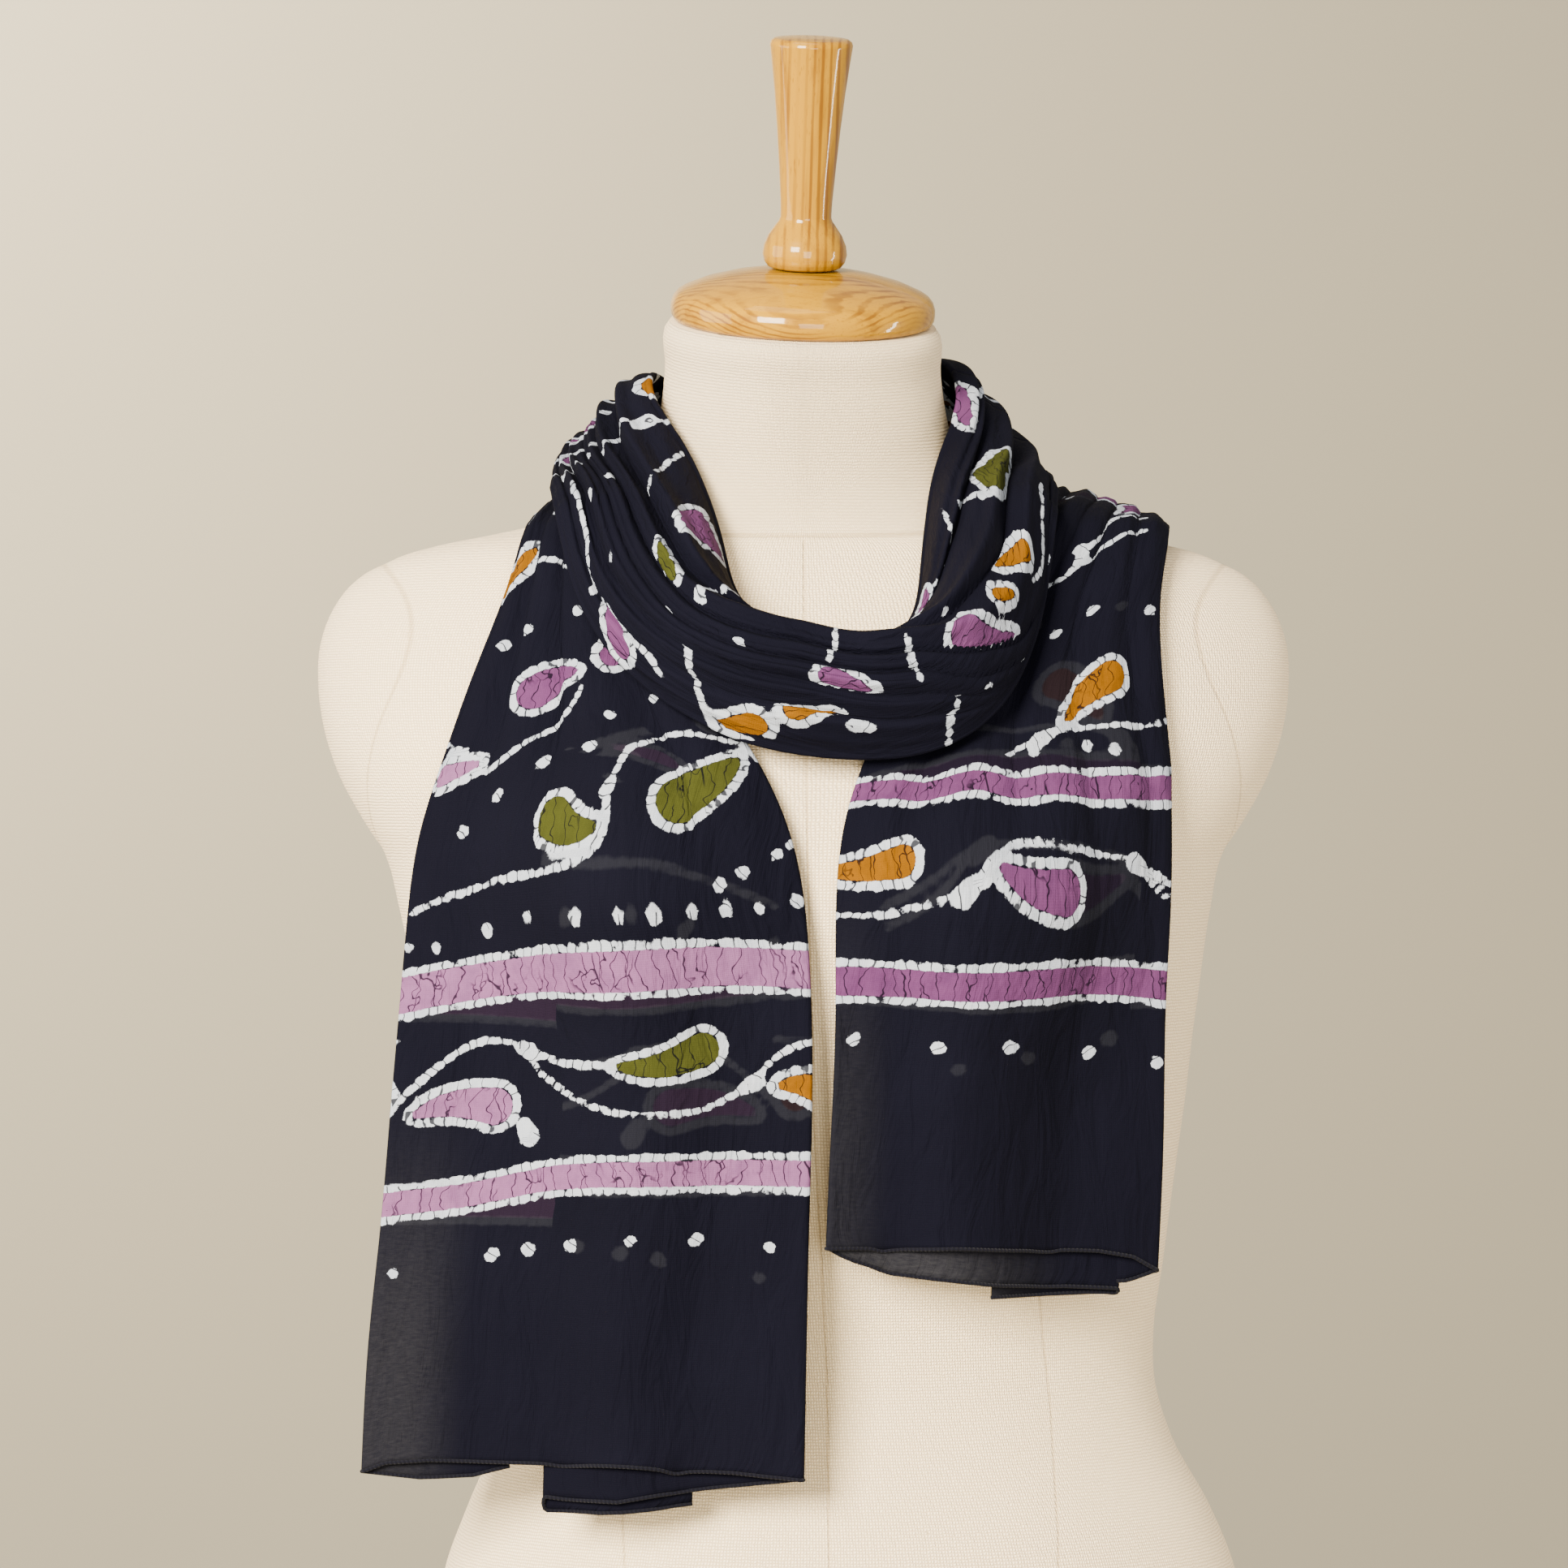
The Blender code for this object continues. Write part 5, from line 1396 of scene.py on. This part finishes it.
# ---------------------------------------------------------------- operators
class StudioOperator(bpy.types.Operator):
    """Makes the camera, the lights, the floor and the backdrop"""
    bl_idname = "stole.studio"
    bl_label = "Studio"

    def execute(self, context):
        settings = context.scene.stole_studio
        view = bpy.data.cameras.new("camera")
        view.sensor_width = 36.0
        view.angle = settings.reach
        eye = bpy.data.objects.new("camera", view)
        eye.location = settings.eye
        eye.rotation_euler = (math.pi / 2.0, 0.0, 0.0)
        context.scene.collection.objects.link(eye)
        context.scene.camera = eye
        for row in LAMPS:
            self.light(dict(zip(LAMP_COLUMNS, row)), settings)
        world = bpy.data.worlds.new("room")
        world.use_nodes = True
        world.node_tree.nodes["Background"].inputs[0].default_value = ROOM_COLOUR
        world.node_tree.nodes["Background"].inputs[1].default_value = settings.sky
        context.scene.world = world
        self.backdrop(settings)
        return {"FINISHED"}

    def light(self, lamp, settings):
        data = bpy.data.lights.new(lamp["name"], "AREA")
        data.shape = "RECTANGLE"
        data.size, data.size_y = lamp["wide"], lamp["tall"]
        data.energy = getattr(settings, lamp["power"]) * lamp["share"]
        data.color = LAMP_COLOUR
        made = bpy.data.objects.new(lamp["name"], data)
        made.location = lamp["place"]
        aim = Vector(lamp["target"]) - Vector(lamp["place"])
        made.rotation_euler = aim.to_track_quat("-Z", "Y").to_euler()
        made.visible_camera = False
        bpy.context.scene.collection.objects.link(made)

    def backdrop(self, settings):
        """A round floor under the form, and a plain wall far behind it."""
        made = Finish("backdrop_paint", 0.95, specular=0.1)
        tint = tuple(settings.backdrop)
        cloud = made.noise(made.place(), 1.6, 3.0)
        paint = made.paint(made.tinted(tint, tuple(part * 0.8 for part in tint), cloud, 0.12))
        turns = np.linspace(0.0, 2.0 * math.pi, 97)
        floor = [[(far * math.cos(turn), far * math.sin(turn), 0.0) for turn in turns]
                 for far in (FLOOR_RADIUS, 0.001)]
        wall = [[(across, WALL_BACK, up) for across in (-WALL_REACH, WALL_REACH)] for up in WALL_HEIGHTS]
        for name, points in (("floor", floor), ("wall", wall)):
            mesh = grid_mesh(name, np.array(points))
            mesh.materials.append(paint)
            ground = bpy.data.objects.new(name, mesh)
            bpy.context.scene.collection.objects.link(ground)


def seam_values(points):
    """Signed distance in millimetres from each of the cover's sewn lines."""
    x, y, z = points[..., 0], points[..., 1], points[..., 2]

    def line_at(table, height):
        across, heights = np.array(table).T
        return np.interp(height, heights[::-1], across[::-1])

    neck_line = NECK_SEAM_HEIGHT + NECK_SEAM_RISES * smooth_step(-72.0, 15.0, y)
    neck = np.where(np.hypot(x, y) < NECK_SEAM_REACH, 0.6 * (z - neck_line), NO_SEAM)
    below_neck = smooth_step(0.0, 1.5, -(z - neck_line))
    centre = np.where(below_neck > 0.5, x - line_at(CENTRE_SEAM, z), NO_SEAM)
    princess = np.abs(x - ring_value("lean", z)) - line_at(PRINCESS_SEAM, z)
    princess = np.where(z < PRINCESS_SEAM[0][1], princess, NO_SEAM)
    tall, deep = ARM_CAP_HALF_TALL, ARM_CAP_HALF_DEEP
    oval = np.hypot((z - ARM_CAP_HEIGHT) / tall, (y - ARM_CAP_BACK) / deep)
    arm = np.where(np.abs(x) > ARM_CAP_INNER, (oval - 1.0) * (tall + deep) / 2.0, NO_SEAM)
    at_side = (np.abs(x) > SIDE_SEAM_INNER) & (arm > 2.0) & (z < SIDE_SEAM_TOP)
    side = np.where(at_side, y - ARM_CAP_BACK + 2.0, NO_SEAM)
    return dict(zip(SEAMS, (centre, princess, neck, arm, side)))


class FormOperator(bpy.types.Operator):
    """Makes the dress form's canvas cover with its seams"""
    bl_idname = "stole.form"
    bl_label = "Dress form"

    def execute(self, context):
        points = form_surface()
        round_it = np.linalg.norm(np.diff(points, axis=1), axis=2)[FORM_ROWS // 2]
        up_it = np.linalg.norm(np.diff(points, axis=0), axis=2)[:, FORM_SIDES // 2]
        flat = np.stack(np.broadcast_arrays(run_of(round_it)[None, :], run_of(up_it)[:, None]), axis=-1)
        seams = seam_values(points)
        groove = np.zeros(points.shape[:2])
        for values in seams.values():
            groove = np.maximum(groove, np.exp(-(values / GROOVE_HALF_WIDE) ** 2))
        out = unit(np.cross(np.gradient(points, axis=1), np.gradient(points, axis=0)))
        points = points - out * (groove * GROOVE_DEEP)[..., None]
        points[:, 0] = points[:, -1] = (points[:, 0] + points[:, -1]) / 2.0
        mesh = grid_mesh("form_cover", points, flat, seams, closed=True)
        made = piece("form_cover", mesh, canvas_finish(context.scene.stole_form))
        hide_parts("form_torso", "form_arm_cap_left", "form_arm_cap_right")
        return {"FINISHED"}


class WoodOperator(bpy.types.Operator):
    """Turns the neck cap and the finial"""
    bl_idname = "stole.wood"
    bl_label = "Turned wood"

    def execute(self, context):
        settings = context.scene.stole_wood
        tip, lean = math.radians(NECK_TIP), math.radians(NECK_LEAN)
        up = Vector((math.sin(lean), -math.sin(tip), math.cos(tip) * math.cos(lean))).normalized()
        right = Vector((0.0, 1.0, 0.0)).cross(up).normalized()
        turned = Matrix((right, up.cross(right), up)).transposed().to_4x4()
        place = Matrix.Translation(Vector(NECK_TOP) * MM) @ turned
        upright = turned.inverted()
        turn, middle = tuple(upright.to_euler()), upright @ (Vector(NECK_TOP) * MM)
        grain = wood_finish(settings, "wood_cap", turn, tuple(Vector(CAP_PITH) * MM - middle),
                            {"wave_type": "RINGS", "rings_direction": "X"}, (0.3, 1.0, 1.0), 150.0)
        length = wood_finish(settings, "wood_finial", turn, tuple(-middle),
                             {"wave_type": "BANDS", "bands_direction": "X"}, (1.0, 1.0, 0.05), 90.0)
        for name, node, profile, coat in (("cap_wood", "neck_cap", CAP_PROFILE, grain),
                                          ("finial_wood", "finial", FINIAL_PROFILE, length)):
            made = piece(name, self.spun(name, profile, settings.steps, place), coat)
            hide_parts(node)
        return {"FINISHED"}

    def spun(self, name, profile, steps, place):
        """A turned solid from a profile of radii and heights."""
        shape = bmesh.new()
        corners = [shape.verts.new((radius * MM, 0.0, (up + WOOD_GAP) * MM)) for radius, up in profile]
        edges = [shape.edges.new(pair) for pair in zip(corners[:-1], corners[1:])]
        bmesh.ops.subdivide_edges(shape, edges=edges, cuts=2, smooth=0.0)
        bmesh.ops.spin(shape, geom=shape.verts[:] + shape.edges[:], cent=(0.0, 0.0, 0.0),
                       axis=(0.0, 0.0, 1.0), angle=2.0 * math.pi, steps=steps, use_merge=True)
        bmesh.ops.remove_doubles(shape, verts=shape.verts, dist=WELD)
        bmesh.ops.recalc_face_normals(shape, faces=shape.faces)
        bmesh.ops.transform(shape, matrix=place, verts=shape.verts)
        mesh = bpy.data.meshes.new(name)
        shape.to_mesh(mesh)
        shape.free()
        return mesh


class ClothOperator(bpy.types.Operator):
    """Winds the stole's five stretches and rolls its two hems"""
    bl_idname = "stole.cloth"
    bl_label = "Stole"

    def execute(self, context):
        settings = context.scene.stole_cloth
        coat, thread = batik_finish(settings), hem_finish(settings)
        colours = {name: tuple(getattr(settings, name)) for name in DYES}
        bed_of = whole_bed()
        for name, _ in STRETCHES:
            laid = cloth_stretch(name, bed_of)
            made = self.stretch(name, laid, coat, colours, settings)
            if name.startswith("tail"):
                row = 0 if name == "tail_right" else -1
                mesh = tube_mesh("hem_" + name, laid["points"][row], settings.hem_radius / MM)
                piece("hem_" + name, mesh, thread)
            steps = np.linalg.norm(np.diff(laid["points"], axis=1), axis=2).sum(axis=1)
        return {"FINISHED"}

    def stretch(self, name, laid, coat, colours, settings):
        across = laid["across"]
        places = np.broadcast_to(laid["places"][:, None], across.shape)
        behind = self.behind(laid) if name.startswith("tail") else np.full(across.shape, NO_LAYER)
        carried = {"thin": self.thin(name, laid)}
        for prefix, depth in (("", across), ("ghost_", behind)):
            drawn = print_cloth(depth.ravel(), places.ravel(), laid["whole"], colours)
            carried[prefix + "wax"] = np.clip(drawn.wax, -6, NO_PRINT).reshape(across.shape)
            carried[prefix + "dye"] = np.clip(drawn.dye, -12, NO_PRINT).reshape(across.shape)
            carried[(prefix or "dye_") + "colour"] = drawn.colour.reshape(*across.shape, 3)
            if not prefix:
                carried["run"] = drawn.run.reshape(across.shape)
        mesh = grid_mesh("cloth_" + name, laid["points"], np.stack((across, places), axis=-1), carried)
        made = piece("cloth_" + name, mesh, coat)
        wall = made.modifiers.new("wall", "SOLIDIFY")
        wall.thickness = settings.wall
        wall.offset = 0.0
        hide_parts(name)
        return made

    def thin(self, name, laid):
        """Where a tail has one layer near its hem, so that light comes through it."""
        share = np.broadcast_to(laid["share"][None, :], laid["across"].shape)
        places = laid["places"] if name == "tail_right" else laid["whole"] - laid["places"]
        low = 1.0 - smooth_step(*SHEER_FADES, places)[:, None]
        if name == "tail_right":
            behind_hem = (laid["layer"] < 1.5)[None, :] * (1.0 - smooth_step(0.3, 0.75, share))
            lowest = 1.0 - smooth_step(*EDGE_SHEER_FADES, places)[:, None]
            at_edge = 1.0 - smooth_step(0.02, 0.2, share)
            return np.maximum(RIGHT_SHEER * low * at_edge, lowest * behind_hem)
        if name == "tail_left":
            return LEFT_SHEER * low * smooth_step(0.76, 0.92, share)
        return np.zeros(share.shape)

    def behind(self, laid):
        """How far across the cloth lies the layer that is behind each point of the show side."""
        layer, share, across = laid["layer"], laid["share"], laid["across"]
        first_show = np.nonzero(laid["show"])[0][0]
        hidden = np.nonzero((np.abs(layer - 1.0) < 1e-9) & (np.arange(len(layer)) < first_show))[0]
        order = hidden[np.argsort(share[hidden])]
        result = np.full(across.shape, NO_LAYER)
        under = share <= share[order].max() + 1e-6
        for row in range(len(across)):
            result[row, under] = np.interp(share[under], share[order], across[row, order])
        return result


GROUPS = {"stole_studio": StudioSettings, "stole_form": FormSettings, "stole_wood": WoodSettings,
          "stole_cloth": StoleSettings}


class StolePanel(bpy.types.Panel):
    """Lists the pieces in the order in which they are made"""
    bl_idname = "VIEW3D_PT_stole"
    bl_label = "Stole"
    bl_space_type = "VIEW_3D"
    bl_region_type = "UI"
    bl_category = "Stole"

    def draw(self, context):
        for group, kind in GROUPS.items():
            self.layout.operator(group.replace("_", "."))
            for name in kind.__annotations__:
                self.layout.prop(getattr(context.scene, group), name)


CLASSES = (*GROUPS.values(), StudioOperator, FormOperator, WoodOperator, ClothOperator, StolePanel)


def register():
    for kind in CLASSES:
        bpy.utils.register_class(kind)
    for name, group in GROUPS.items():
        setattr(bpy.types.Scene, name, PointerProperty(type=group))


def unregister():
    for name in GROUPS:
        delattr(bpy.types.Scene, name)
    for kind in reversed(CLASSES):
        bpy.utils.unregister_class(kind)


def main():
    register()
    bpy.ops.stole.studio()
    bpy.ops.stole.form()
    bpy.ops.stole.wood()
    bpy.ops.stole.cloth()


if __name__ == "__main__":
    main()
